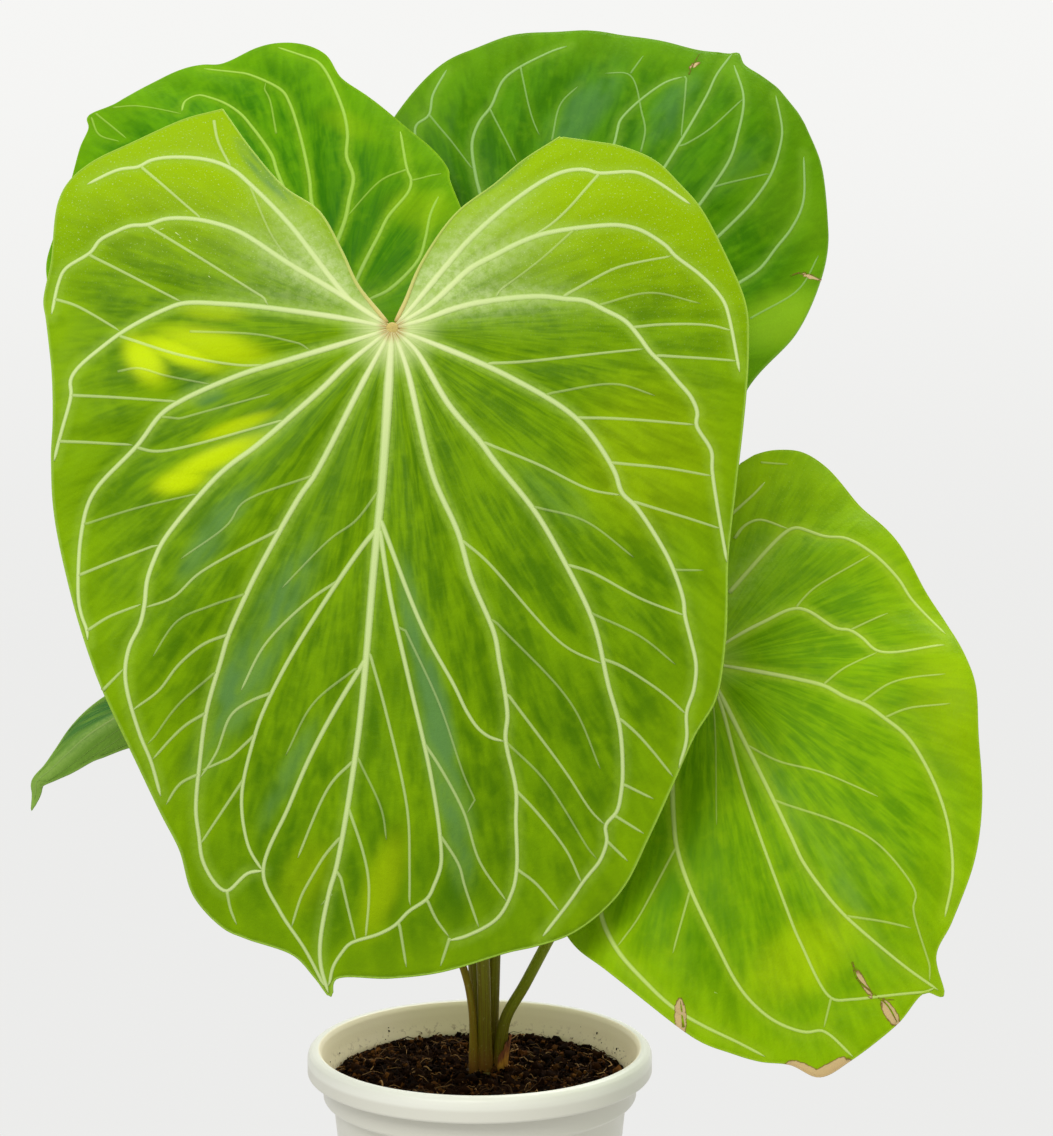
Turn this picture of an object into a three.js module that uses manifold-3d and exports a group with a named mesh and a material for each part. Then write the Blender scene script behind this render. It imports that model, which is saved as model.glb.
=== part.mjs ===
// Potted king of spades anthurium: five velvety heart-shaped leaves on slim stalks, rising from
// one short stem in a white nursery pot filled with coir. Millimetres, +Z up. The origin is the
// middle of the pot's underside, and the front leaf faces -Y.
import * as THREE from 'three';
import { mergeVertices } from 'three/addons/utils/BufferGeometryUtils.js';
import Module from 'manifold-3d';

const wasm = await Module();
wasm.setup();

// Driving dimensions of the pot and its filling
const POT_HEIGHT = 135;
const RIM_RADIUS = 75;
const RIM_DEPTH = 11;
const OPENING_RADIUS = 68.7;
const COLLAR_RADIUS = 68.2;
const COLLAR_DEPTH = 11;
const SHOULDER_RADIUS = 63.9;
const BASE_RADIUS = 52;
const WALL = 2;
const FLOOR = 2.6;
const DRAIN_HOLES = 6;
const DRAIN_RADIUS = 4.5;
const DRAIN_RING_RADIUS = 38;
const SOIL_LEVEL = 121.5;
const SOIL_MOUND = 1.6;
const SOIL_RELIEF = 1.3;
const GAP = 0.3;

// Driving dimensions of the stem and the leaves
const STEM_CENTRE = [2.5, 6];
const STEM_RADIUS = 10;
const STEM_TOP = 123;
const STEM_BOTTOM = 104;
const BLADE_THICKNESS = 0.8;
const PUFF_HEIGHT = 1.6;
const PUFF_REACH = 11;
const SHEATH_THICKNESS = 0.7;
const SHEATH_HEIGHT = 14;

const ROUND_SIDES = 56;
const FOOT_Z = STEM_TOP + GAP;

const material = (color, roughness) => new THREE.MeshStandardMaterial({ color, roughness, metalness: 0 });

const whitePlastic = material(0xe9ebdd, 0.42);
const coir = material(0x2c1a10, 0.95);
const stemSkin = material(0x6b5a26, 0.7);
const stalkSkin = material(0x5c6412, 0.5);
const drySheath = material(0xa2662c, 0.75);
const frontGreen = material(0x6f9d1c, 0.55);
const backLeftGreen = material(0x74b012, 0.55);
const backRightGreen = material(0x4c7c18, 0.5);
const lowerRightGreen = material(0x8db60c, 0.55);
const smallGreen = material(0x6d9a3c, 0.6);

// The leaves. Each blade is laid out flat first: u runs across and v from the stalk towards the
// tip. A sector is one main vein, from the stalk out to the margin, and the points of the margin
// that lead on to the next vein's end. The first and last veins are the two edges of the notch.
// midrib places the blade: its first point is the stalk's end. faces turns the upper side.
// arch bows the midrib, lobes bends the part behind the stalk, ridge lifts the middle, cup drops
// the sides, roll folds both halves back (degrees), wave ripples the margin (height, count, phase).
const frontLeaf = {
  name: 'front',
  skin: frontGreen,
  midrib: [[-34, -48, 447.5], [-57.5, -95, 184]],
  faces: [[0, -1, 0], [0, -1, 0]],
  halfWidth: 140,
  baseRadius: 3.2,
  rows: 12,
  arch: 14,
  lobes: 56,
  ridge: 8,
  cup: 16,
  roll: 0,
  wave: [2.4, 9, 0.4],
  sectors: [
    { vein: [[-6, -6], [-16, -17], [-24, -31], [-35, -47], [-50, -56], [-66, -72], [-80, -89]],
      margin: [[-95, -83], [-116, -70], [-131, -60]] },
    { vein: [[-18, -10], [-37, -30], [-55, -48], [-72, -62], [-90, -66], [-107, -63], [-139, -51]],
      margin: [[-142, -42], [-142, -17], [-143, 0]] },
    { vein: [[-20, -11], [-44, -23], [-66, -35], [-87, -39], [-111, -34], [-126, -22], [-141, 7]],
      margin: [[-135, 29], [-132, 49]] },
    { vein: [[-17, -2], [-42, -3], [-68, -4], [-92, 0], [-110, 12], [-122, 25], [-131, 66]],
      margin: [[-127, 90], [-118, 117]] },
    { vein: [[-16, 7], [-40, 17], [-71, 31], [-94, 51], [-110, 73], [-116, 103], [-106, 144]],
      margin: [[-98, 159], [-86, 180]] },
    { vein: [[-16, 16], [-34, 37], [-59, 62], [-82, 94], [-88, 129], [-87, 162], [-73, 203]],
      margin: [[-65, 216], [-58, 234]] },
    { vein: [[-9, 22], [-20, 50], [-36, 85], [-50, 121], [-59, 161], [-59, 196], [-45, 246]],
      margin: [[-36, 249], [-16, 254], [-7, 262]], columns: 8 },
    { vein: [[0, 13], [2, 62], [2, 127], [2, 175], [-2, 217], [-5, 249], [0, 269]],
      margin: [[1, 262], [23, 259], [42, 255]], columns: 8 },
    { vein: [[7, 15], [17, 45], [34, 81], [47, 111], [59, 146], [64, 175], [68, 209], [69, 245]],
      margin: [[79, 242], [93, 236]] },
    { vein: [[10, 8], [26, 30], [55, 61], [78, 90], [96, 128], [108, 167], [108, 197], [105, 226]],
      margin: [[113, 215], [121, 194]] },
    { vein: [[14, 4], [37, 11], [70, 27], [94, 47], [117, 81], [131, 119], [131, 147], [128, 174]],
      margin: [[135, 153], [142, 138], [144, 114]] },
    { vein: [[13, -5], [34, -14], [58, -19], [85, -16], [111, 5], [126, 28], [143, 82]],
      margin: [[144, 53], [145, 15]] },
    { vein: [[14, -11], [29, -28], [48, -41], [70, -50], [97, -52], [117, -39], [145, -6]],
      margin: [[143, -25], [132, -48], [121, -65]] },
    { vein: [[6, -8], [21, -31], [35, -49], [51, -65], [66, -75], [83, -77], [112, -74]],
      margin: [[101, -83], [86, -88], [74, -89]] },
    { vein: [[4, -11], [9, -28], [21, -51], [36, -66], [47, -78], [61, -90]], margin: [] },
  ],
  stalk: { radius: 2.8,
    path: [[1.8, 2.2, FOOT_Z], [1.6, 1.8, 165], [-2, -3, 230], [-10, -12, 310], [-21, -23, 380],
      [-31, -31, 430]] },
};

const backLeftLeaf = {
  name: 'back_left',
  skin: backLeftGreen,
  midrib: [[-58.5, 35, 450], [-184.5, 145, 539]],
  faces: [[0, -1, 0.4], [0, -1, 0.4]],
  halfWidth: 80,
  baseRadius: 2.9,
  rows: 10,
  arch: 10,
  lobes: 40,
  ridge: 6,
  cup: 10,
  roll: 0,
  wave: [2, 8, 1.5],
  sectors: [
    { vein: [[-4, -12], [-14, -27], [-32, -38], [-50, -34]], margin: [[-60, -22]] },
    { vein: [[-13, -3], [-32, -6], [-50, 0], [-71, 10], [-80, 18]], margin: [[-83, 22], [-87, 38]] },
    { vein: [[-16, 9], [-38, 18], [-63, 26], [-77, 42], [-87, 58]],
      margin: [[-86, 77], [-86, 96], [-92, 116]] },
    { vein: [[-23, 29], [-42, 41], [-65, 67], [-80, 95], [-91, 134]], margin: [[-86, 145], [-78, 154]] },
    { vein: [[-12, 22], [-31, 55], [-50, 85], [-63, 119], [-61, 163]],
      margin: [[-55, 170], [-45, 176]] },
    { vein: [[-8, 26], [-20, 56], [-34, 92], [-42, 130], [-31, 180]], margin: [[-13, 182]] },
    { vein: [[2, 30], [4, 66], [2, 110], [-1, 156], [0, 190]], margin: [[5, 182], [15, 175]] },
    { vein: [[9, 26], [24, 62], [35, 98], [38, 132], [27, 167]], margin: [[46, 154]] },
    { vein: [[14, 20], [36, 48], [56, 78], [66, 108], [64, 144]], margin: [[73, 131], [84, 104]] },
    { vein: [[17, 10], [42, 20], [66, 36], [82, 56], [88, 80]], margin: [[90, 56], [89, 30]] },
    { vein: [[14, -2], [38, -8], [60, -8], [78, -2], [86, 8]], margin: [[80, -16], [68, -32]] },
    { vein: [[4, -12], [16, -28], [34, -40], [54, -40]], margin: [] },
  ],
  stalk: { radius: 2.6,
    path: [[-1.2, 9, FOOT_Z], [-2.5, 12, 165], [-8, 19, 230], [-22, 29, 310], [-39, 39, 385],
      [-51, 46, 428]] },
};

const backRightLeaf = {
  name: 'back_right',
  skin: backRightGreen,
  midrib: [[10.5, 60, 413], [119, 142, 569]],
  faces: [[0, -1, 0.3], [0, -1, 0.3]],
  halfWidth: 110,
  baseRadius: 2.9,
  rows: 10,
  arch: 12,
  lobes: 48,
  ridge: 6,
  cup: 14,
  roll: 0,
  wave: [2.4, 7, 2.2],
  sectors: [
    { vein: [[-4, -12], [-16, -30], [-34, -42], [-56, -44]], margin: [[-72, -36], [-84, -18]] },
    { vein: [[-14, -3], [-40, -8], [-66, -4], [-90, 12]], margin: [[-93, 36]] },
    { vein: [[-18, 8], [-44, 18], [-70, 36], [-89, 63]], margin: [[-94, 97], [-90, 129]] },
    { vein: [[-19, 15], [-41, 30], [-61, 68], [-73, 92], [-84, 147]], margin: [[-77, 158], [-61, 179]] },
    { vein: [[-10, 17], [-34, 42], [-50, 77], [-59, 102], [-65, 130], [-47, 190]], margin: [[-44, 192]] },
    { vein: [[-8, 22], [-23, 51], [-33, 86], [-40, 116], [-44, 150], [-28, 199]],
      margin: [[-25, 200], [-6, 202]] },
    { vein: [[-1, 20], [-1, 48], [-3, 93], [-3, 134], [-1, 162], [0, 207]], margin: [[3, 204]] },
    { vein: [[5, 20], [9, 48], [17, 99], [26, 138], [20, 166], [15, 198]], margin: [[34, 192]] },
    { vein: [[8, 16], [15, 28], [38, 86], [48, 117], [54, 144], [52, 186]], margin: [[61, 182]] },
    { vein: [[12, 14], [28, 36], [60, 74], [77, 94], [80, 130], [78, 170]], margin: [[92, 156], [102, 138]] },
    { vein: [[14, 10], [22, 23], [75, 63], [93, 82], [110, 123]], margin: [[114, 87], [112, 64]] },
    { vein: [[18, 6], [48, 16], [80, 20], [108, 40]], margin: [[106, 16], [100, -8]] },
    { vein: [[15, -4], [42, -12], [68, -12], [92, -22]], margin: [[80, -38]] },
    { vein: [[4, -12], [18, -32], [40, -46], [64, -46]], margin: [] },
  ],
  stalk: { radius: 2.6,
    path: [[4.6, 10, FOOT_Z], [6, 14, 165], [7.5, 26, 230], [8.5, 45, 310], [9.3, 63, 375],
      [9.4, 72, 397]] },
};

const lowerRightLeaf = {
  name: 'lower_right',
  skin: lowerRightGreen,
  midrib: [[95.5, -6, 304.5], [186, -98, 183]],
  faces: [[0.1, -1, 0.25], [0.1, -1, 0.25]],
  halfWidth: 100,
  baseRadius: 2.7,
  rows: 11,
  arch: 10,
  lobes: -40,
  ridge: 6,
  cup: 10,
  roll: 0,
  wave: [2.2, 8, 0.9],
  sectors: [
    { vein: [[-5, -12], [-16, -28], [-34, -42], [-58, -50]], margin: [[-78, -40], [-94, -18]] },
    { vein: [[-22, 1], [-56, 7], [-84, 21], [-99, 38], [-112, 74]], margin: [[-107, 96]] },
    { vein: [[-14, 7], [-51, 28], [-80, 52], [-95, 74], [-98, 96], [-92, 139]],
      margin: [[-83, 151], [-75, 159]] },
    { vein: [[-8, 11], [-34, 35], [-50, 57], [-61, 87], [-65, 122], [-65, 166]], margin: [[-58, 176]] },
    { vein: [[-5, 17], [-13, 46], [-24, 83], [-32, 113], [-36, 140], [-44, 177]],
      margin: [[-21, 176], [-5, 172]] },
    { vein: [[-2, 14], [-7, 45], [-12, 75], [-16, 101], [-15, 126], [-10, 148], [0, 177]], margin: [[6, 163]],
      columns: 3 },
    { vein: [[6, 10], [20, 25], [36, 48], [46, 80], [43, 118], [19, 155]], margin: [[42, 138], [60, 118]] },
    { vein: [[14, 5], [35, 14], [54, 28], [68, 50], [75, 94]], margin: [[86, 76], [91, 61]] },
    { vein: [[13, -3], [32, -6], [60, -4], [82, 10], [95, 42]], margin: [[97, 25], [101, -2]] },
    { vein: [[12, -12], [28, -23], [49, -31], [71, -35], [84, -34], [100, -28]],
      margin: [[100, -56], [95, -68]] },
    { vein: [[8, -15], [24, -35], [42, -50], [57, -59], [73, -64], [86, -74]], margin: [[77, -76]] },
    { vein: [[4, -12], [16, -32], [30, -52], [44, -66], [67, -76]], margin: [] },
  ],
  stalk: { radius: 2.4,
    path: [[8, 4.5, FOOT_Z], [8.8, 4.8, 132], [11.2, 6, 145], [19.6, 9, 159.5], [29.7, 14, 177.5],
      [52.7, 22, 217.5], [77, 24, 262], [92, 13, 288]] },
};

const smallLeaf = {
  name: 'small',
  skin: smallGreen,
  midrib: [[-135.2, 18, 286.8], [-148.1, 16, 281.4], [-161, 14, 275.2], [-171.2, 12, 268.5],
    [-179.7, 10, 260.9], [-186.6, 9, 254.5], [-192, 8, 249.8], [-192.7, 8, 244.1], [-194.7, 7, 236.8]],
  faces: [[0, -0.8, 0.6], [-0.15, -0.9, 0.45]],
  halfWidth: 20,
  baseRadius: 3.2,
  rows: 8,
  arch: 0,
  lobes: 0,
  ridge: 0,
  cup: 0,
  roll: 25,
  wave: [0.4, 6, 0.3],
  sectors: [
    { vein: [[-3.5, -4], [-7, -7], [-10, -6]], margin: [[-14.5, 1]] },
    { vein: [[-6, 3], [-12, 7], [-16.5, 12]], margin: [[-17.5, 20]] },
    { vein: [[-5, 9], [-11, 19], [-16.5, 30]], margin: [[-14.5, 38]] },
    { vein: [[-3, 14], [-7, 30], [-11.5, 46]], margin: [[-7.5, 56], [-4.6, 64], [-3, 71], [-1.6, 77]] },
    { vein: [[0, 18], [0, 40], [0, 62], [0, 82]], margin: [[1.6, 77], [3, 71], [4.6, 64], [7.5, 56]] },
    { vein: [[3, 14], [6.5, 30], [10, 46]], margin: [[12, 39]] },
    { vein: [[5, 9], [10, 19], [13.5, 30]], margin: [[14.5, 21]] },
    { vein: [[6, 3], [10.5, 7], [13.5, 12]], margin: [[13, 1]] },
    { vein: [[3.5, -4], [7, -7], [10, -6]], margin: [] },
  ],
  stalk: { radius: 1.6, end: 2.2,
    path: [[-2.6, 0.2, FOOT_Z], [-3.6, 1.6, 152], [-7.4, 3, 169], [-24, 8, 205], [-60, 17, 250],
      [-104, 26, 282], [-125.6, 29, 294]] },
};

const leaves = [frontLeaf, backLeftLeaf, backRightLeaf, lowerRightLeaf, smallLeaf];

// A closed mesh from its corner points and triangles.
function solid(points, triangles) {
  const geometry = new THREE.BufferGeometry();
  geometry.setFromPoints(points);
  geometry.setIndex(triangles.flat());
  geometry.computeVertexNormals();
  return geometry;
}

// Cuts one closed geometry out of another.
function cut(geometry, ...tools) {
  const toManifold = (source) => {
    const bare = source.clone();
    bare.deleteAttribute('normal');
    bare.deleteAttribute('uv');
    const merged = mergeVertices(bare, 1e-4);
    return new wasm.Manifold(new wasm.Mesh({
      numProp: 3,
      vertProperties: new Float32Array(merged.attributes.position.array),
      triVerts: new Uint32Array(merged.index.array),
    }));
  };
  const left = tools.reduce((body, tool) => body.subtract(toManifold(tool)), toManifold(geometry));
  const mesh = left.getMesh();
  const result = new THREE.BufferGeometry();
  result.setAttribute('position', new THREE.BufferAttribute(mesh.vertProperties, 3));
  result.setIndex(new THREE.BufferAttribute(mesh.triVerts, 1));
  result.computeVertexNormals();
  return result;
}

// A solid of revolution about the Z axis, from its profile of [radius, height] points.
function turned(profile, sides) {
  const line = profile.map(([radius, z]) => new THREE.Vector2(radius, z));
  return new THREE.LatheGeometry(line, sides).rotateX(Math.PI / 2);
}

const flat = ([u, v]) => new THREE.Vector3(u, v, 0);
const smooth = (points) => new THREE.CatmullRomCurve3(points, false, 'centripetal');

// The flat layout of a blade: a fan of columns from the stalk to the margin. Between two veins the
// columns blend from one vein to the next, and bulge towards the margin's own line at their ends.
function bladeColumns(leaf) {
  const { sectors, rows, baseRadius } = leaf;
  const rails = sectors.map(({ vein }) => {
    const start = flat(vein[0]).setLength(baseRadius);
    return smooth([start, ...vein.map(flat)]).getSpacedPoints(rows);
  });
  const edgePoints = sectors.flatMap(({ vein, margin }) => [vein.at(-1), ...margin]).map(flat);
  const edge = smooth(edgePoints);
  const columns = [];
  let first = 0;
  sectors.slice(0, -1).forEach((sector, i) => {
    const steps = sector.columns ?? 4;
    const last = first + sector.margin.length + 1;
    for (let step = 0; step < steps; step += 1) {
      const share = step / steps;
      const end = edge.getPoint((first + share * (last - first)) / (edgePoints.length - 1));
      const straightEnd = rails[i][rows].clone().lerp(rails[i + 1][rows], share);
      const bulge = end.sub(straightEnd);
      columns.push(rails[i].map((point, row) => point.clone().lerp(rails[i + 1][row], share)
        .addScaledVector(bulge, (row / rows) ** 3)));
    }
    first = last;
  });
  columns.push(rails.at(-1));
  return { columns, rails };
}

// How far a flat point lies from the nearest main vein.
function veinDistance(point, rails) {
  const segment = new THREE.Line3();
  const nearest = new THREE.Vector3();
  let least = Infinity;
  for (const rail of rails) {
    for (let k = 1; k < rail.length; k += 1) {
      segment.set(rail[k - 1], rail[k]).closestPointToPoint(point, true, nearest);
      least = Math.min(least, nearest.distanceTo(point));
    }
  }
  return least;
}

// Height of a blade over its flat layout: bowed midrib, raised middle, dropped sides, rippled
// margin, and the skin puffed up between the sunken main veins.
function bladeHeight(leaf, u, v, length, distance) {
  const along = v / length;
  const across = u / leaf.halfWidth;
  const reach = Math.min(Math.hypot(u, v) / leaf.halfWidth, 1.3);
  const bow = 4 * leaf.arch * along - (along > 0 ? 4 * leaf.arch : leaf.lobes) * along ** 2;
  const middle = leaf.ridge * (Math.hypot(u, 10) - 10) / leaf.halfWidth - leaf.cup * across ** 2;
  const [waveHeight, waveCount, wavePhase] = leaf.wave;
  const ripple = waveHeight * reach ** 3 * Math.sin(waveCount * Math.atan2(u, v) + wavePhase);
  const full = PUFF_HEIGHT * Math.min(leaf.halfWidth / 100, 1);
  const puff = full * (1 - Math.exp(-((distance / PUFF_REACH) ** 2)));
  return bow + middle + ripple + puff;
}

// Carries flat points along the midrib: u is rolled back round it by the leaf's roll, and the
// height stands on the blade's upper side.
function bladeCarrier(leaf) {
  const curve = smooth(leaf.midrib.map((p) => new THREE.Vector3(...p)));
  const length = curve.getLength();
  const [facesBase, facesTip] = leaf.faces.map((p) => new THREE.Vector3(...p));
  const rollAngle = THREE.MathUtils.degToRad(leaf.roll);
  const rollRadius = 4;
  const carry = (u, v, height) => {
    const share = THREE.MathUtils.clamp(v / length, 0, 1);
    const tangent = curve.getTangentAt(share);
    const origin = curve.getPointAt(share).addScaledVector(tangent, v - share * length);
    const normal = facesBase.clone().lerp(facesTip, share);
    normal.addScaledVector(tangent, -normal.dot(tangent)).normalize();
    const across = normal.clone().cross(tangent);
    const angle = Math.min(Math.abs(u) / rollRadius, rollAngle);
    const straight = Math.abs(u) - rollRadius * angle;
    const sideways = Math.sign(u) * (rollRadius * Math.sin(angle) + straight * Math.cos(angle));
    const drop = rollRadius * (1 - Math.cos(angle)) + straight * Math.sin(angle);
    return origin.addScaledVector(across, sideways).addScaledVector(normal, height - drop);
  };
  return { carry, length };
}

// The blade's solid: its middle surface moved half the thickness to each side. Both faces are
// split into the same triangles.
function bladeGeometry(leaf) {
  const { columns, rails } = bladeColumns(leaf);
  const { carry, length } = bladeCarrier(leaf);
  const surface = columns.map((column) => column.map((p) => {
    const height = bladeHeight(leaf, p.x, p.y, length, veinDistance(p, rails));
    return carry(p.x, p.y, height);
  }));
  const [wide, high] = [columns.length, leaf.rows + 1];
  const at = (i, k) => surface[THREE.MathUtils.clamp(i, 0, wide - 1)][THREE.MathUtils.clamp(k, 0, high - 1)];
  const points = [];
  for (const side of [1, -1]) {
    for (let i = 0; i < wide; i += 1) {
      for (let k = 0; k < high; k += 1) {
        const sideways = at(i + 1, k).clone().sub(at(i - 1, k));
        const outwards = at(i, k + 1).clone().sub(at(i, k - 1));
        const normal = sideways.cross(outwards).normalize();
        points.push(at(i, k).clone().addScaledVector(normal, side * BLADE_THICKNESS / 2));
      }
    }
  }
  const top = (i, k) => i * high + k;
  const under = (i, k) => wide * high + top(i, k);
  const triangles = [];
  const wall = (a, b) => {
    triangles.push([top(...a), under(...a), under(...b)], [top(...a), under(...b), top(...b)]);
  };
  for (let i = 0; i < wide - 1; i += 1) {
    for (let k = 0; k < high - 1; k += 1) {
      const corners = [[i, k], [i + 1, k], [i + 1, k + 1], [i, k + 1]];
      const [a, b, c, d] = corners.map((corner) => top(...corner));
      const [e, f, g, h] = corners.map((corner) => under(...corner));
      triangles.push([a, b, c], [a, c, d], [e, g, f], [e, h, g]);
    }
    wall([i, 0], [i + 1, 0]);
    wall([i + 1, high - 1], [i, high - 1]);
  }
  for (let k = 0; k < high - 1; k += 1) {
    wall([0, k + 1], [0, k]);
    wall([wide - 1, k], [wide - 1, k + 1]);
  }
  return solid(points, triangles);
}

// A leaf stalk: a tube along its path, thicker at the foot, with the slightly swollen knee that
// turns square to the blade and ends in the middle of its base. Its foot is cut level.
function stalkGeometry(leaf) {
  const sides = 8;
  const rings = 22;
  const kneeLength = 14;
  const { path, radius } = leaf.stalk;
  const endRadius = leaf.stalk.end ?? leaf.baseRadius - 2.4 * GAP;
  const { carry } = bladeCarrier(leaf);
  const knee = [-11, -5, 0.6].map((height) => carry(0, 0, height));
  const curve = smooth([...path.map((p) => new THREE.Vector3(...p)), ...knee]);
  const frames = curve.computeFrenetFrames(rings);
  const length = curve.getLength();
  const points = [];
  for (let ring = 0; ring <= rings; ring += 1) {
    const share = ring / rings;
    const toEnd = (1 - share) * length;
    const swelling = Math.exp(-((toEnd / kneeLength) ** 2));
    const girth = THREE.MathUtils.lerp(radius * (1.08 - 0.2 * share), endRadius, swelling);
    const centre = curve.getPointAt(share);
    for (let side = 0; side < sides; side += 1) {
      const angle = 2 * Math.PI * side / sides;
      const point = centre.clone().addScaledVector(frames.normals[ring], girth * Math.cos(angle))
        .addScaledVector(frames.binormals[ring], girth * Math.sin(angle));
      if (ring === 0) point.z = centre.z;
      points.push(point);
    }
  }
  points.push(curve.getPointAt(0), curve.getPointAt(1));
  const foot = points.length - 2;
  const tip = points.length - 1;
  const triangles = [];
  for (let side = 0; side < sides; side += 1) {
    const next = (side + 1) % sides;
    for (let ring = 0; ring < rings; ring += 1) {
      const [a, b] = [ring * sides + side, ring * sides + next];
      const [c, d] = [b + sides, a + sides];
      triangles.push([a, b, c], [a, c, d]);
    }
    triangles.push([foot, next, side], [tip, rings * sides + side, rings * sides + next]);
  }
  return solid(points, triangles);
}

// The dry papery sheath: an open-sided collar round the foot of one stalk, higher in its middle.
function sheathGeometry() {
  const { radius } = lowerRightLeaf.stalk;
  const inner = radius * 1.08 + 2 * GAP;
  const [fromAngle, toAngle] = [-100, 65].map(THREE.MathUtils.degToRad);
  const [columns, rows] = [12, 5];
  const lean = [0.1, 0.06];
  const lowShare = 0.45;
  const points = [];
  for (const skin of [inner + SHEATH_THICKNESS, inner]) {
    for (let i = 0; i <= columns; i += 1) {
      const share = i / columns;
      const angle = THREE.MathUtils.lerp(fromAngle, toAngle, share);
      const height = SHEATH_HEIGHT * (lowShare + (1 - lowShare) * Math.sin(Math.PI * share));
      for (let k = 0; k <= rows; k += 1) {
        const rise = height * k / rows;
        points.push(new THREE.Vector3(
          lowerRightLeaf.stalk.path[0][0] + lean[0] * rise + skin * Math.cos(angle),
          lowerRightLeaf.stalk.path[0][1] + lean[1] * rise + skin * Math.sin(angle),
          FOOT_Z + rise,
        ));
      }
    }
  }
  const outside = (i, k) => i * (rows + 1) + k;
  const inside = (i, k) => (columns + 1) * (rows + 1) + outside(i, k);
  const triangles = [];
  const quad = (a, b, c, d) => triangles.push([a, b, c], [a, c, d]);
  for (let i = 0; i < columns; i += 1) {
    for (let k = 0; k < rows; k += 1) {
      quad(outside(i, k), outside(i + 1, k), outside(i + 1, k + 1), outside(i, k + 1));
      quad(inside(i, k), inside(i, k + 1), inside(i + 1, k + 1), inside(i + 1, k));
    }
    quad(outside(i, 0), inside(i, 0), inside(i + 1, 0), outside(i + 1, 0));
    quad(outside(i, rows), outside(i + 1, rows), inside(i + 1, rows), inside(i, rows));
  }
  for (let k = 0; k < rows; k += 1) {
    quad(outside(0, k), outside(0, k + 1), inside(0, k + 1), inside(0, k));
    quad(outside(columns, k), inside(columns, k), inside(columns, k + 1), outside(columns, k + 1));
  }
  return solid(points, triangles);
}

// The pot's inner wall: its radius at each height, from the floor up to the opening.
const COLLAR_TOP = POT_HEIGHT - RIM_DEPTH;
const SHOULDER_Z = COLLAR_TOP - COLLAR_DEPTH;
const innerWall = [
  [BASE_RADIUS - WALL + 0.4, FLOOR],
  [SHOULDER_RADIUS - WALL, SHOULDER_Z - 2],
  [COLLAR_RADIUS - WALL - 1.6, SHOULDER_Z + 1],
  [COLLAR_RADIUS - WALL - 1, SOIL_LEVEL],
  [OPENING_RADIUS - 1.9, COLLAR_TOP + 2],
  [OPENING_RADIUS, POT_HEIGHT - 2],
];

// The pot: a thin tapering wall, a collar, and a rim turned out and down over it as a skirt.
function potGeometry() {
  const skirt = 1.7;
  const outside = [
    [0, 0], [BASE_RADIUS - 1.6, 0], [BASE_RADIUS - 0.4, 0.5], [BASE_RADIUS, 1.8],
    [SHOULDER_RADIUS, SHOULDER_Z - 1.6], [COLLAR_RADIUS - 2.6, SHOULDER_Z - 0.6],
    [COLLAR_RADIUS - 0.5, SHOULDER_Z], [COLLAR_RADIUS, SHOULDER_Z + 0.9], [COLLAR_RADIUS + 0.5, COLLAR_TOP],
    [OPENING_RADIUS + 1.5, POT_HEIGHT - 4], [RIM_RADIUS - skirt - 0.6, POT_HEIGHT - 4],
    [RIM_RADIUS - skirt, COLLAR_TOP], [RIM_RADIUS - 0.5, COLLAR_TOP], [RIM_RADIUS, COLLAR_TOP + 0.8],
    [RIM_RADIUS, POT_HEIGHT - 3.6], [RIM_RADIUS - 0.6, POT_HEIGHT - 1.6], [RIM_RADIUS - 2, POT_HEIGHT - 0.4],
    [RIM_RADIUS - 3.4, POT_HEIGHT], [OPENING_RADIUS + 1.2, POT_HEIGHT - 0.3],
  ];
  const profile = [...outside, ...innerWall.toReversed(), [0, FLOOR], [0, 0]];
  const holes = Array.from({ length: DRAIN_HOLES }, (_, i) => {
    const angle = 2 * Math.PI * (i + 0.5) / DRAIN_HOLES;
    return new THREE.CylinderGeometry(DRAIN_RADIUS, DRAIN_RADIUS, 3 * FLOOR, 20).rotateX(Math.PI / 2)
      .translate(DRAIN_RING_RADIUS * Math.cos(angle), DRAIN_RING_RADIUS * Math.sin(angle), FLOOR / 2);
  });
  return cut(turned(profile, ROUND_SIDES), ...holes);
}

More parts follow.
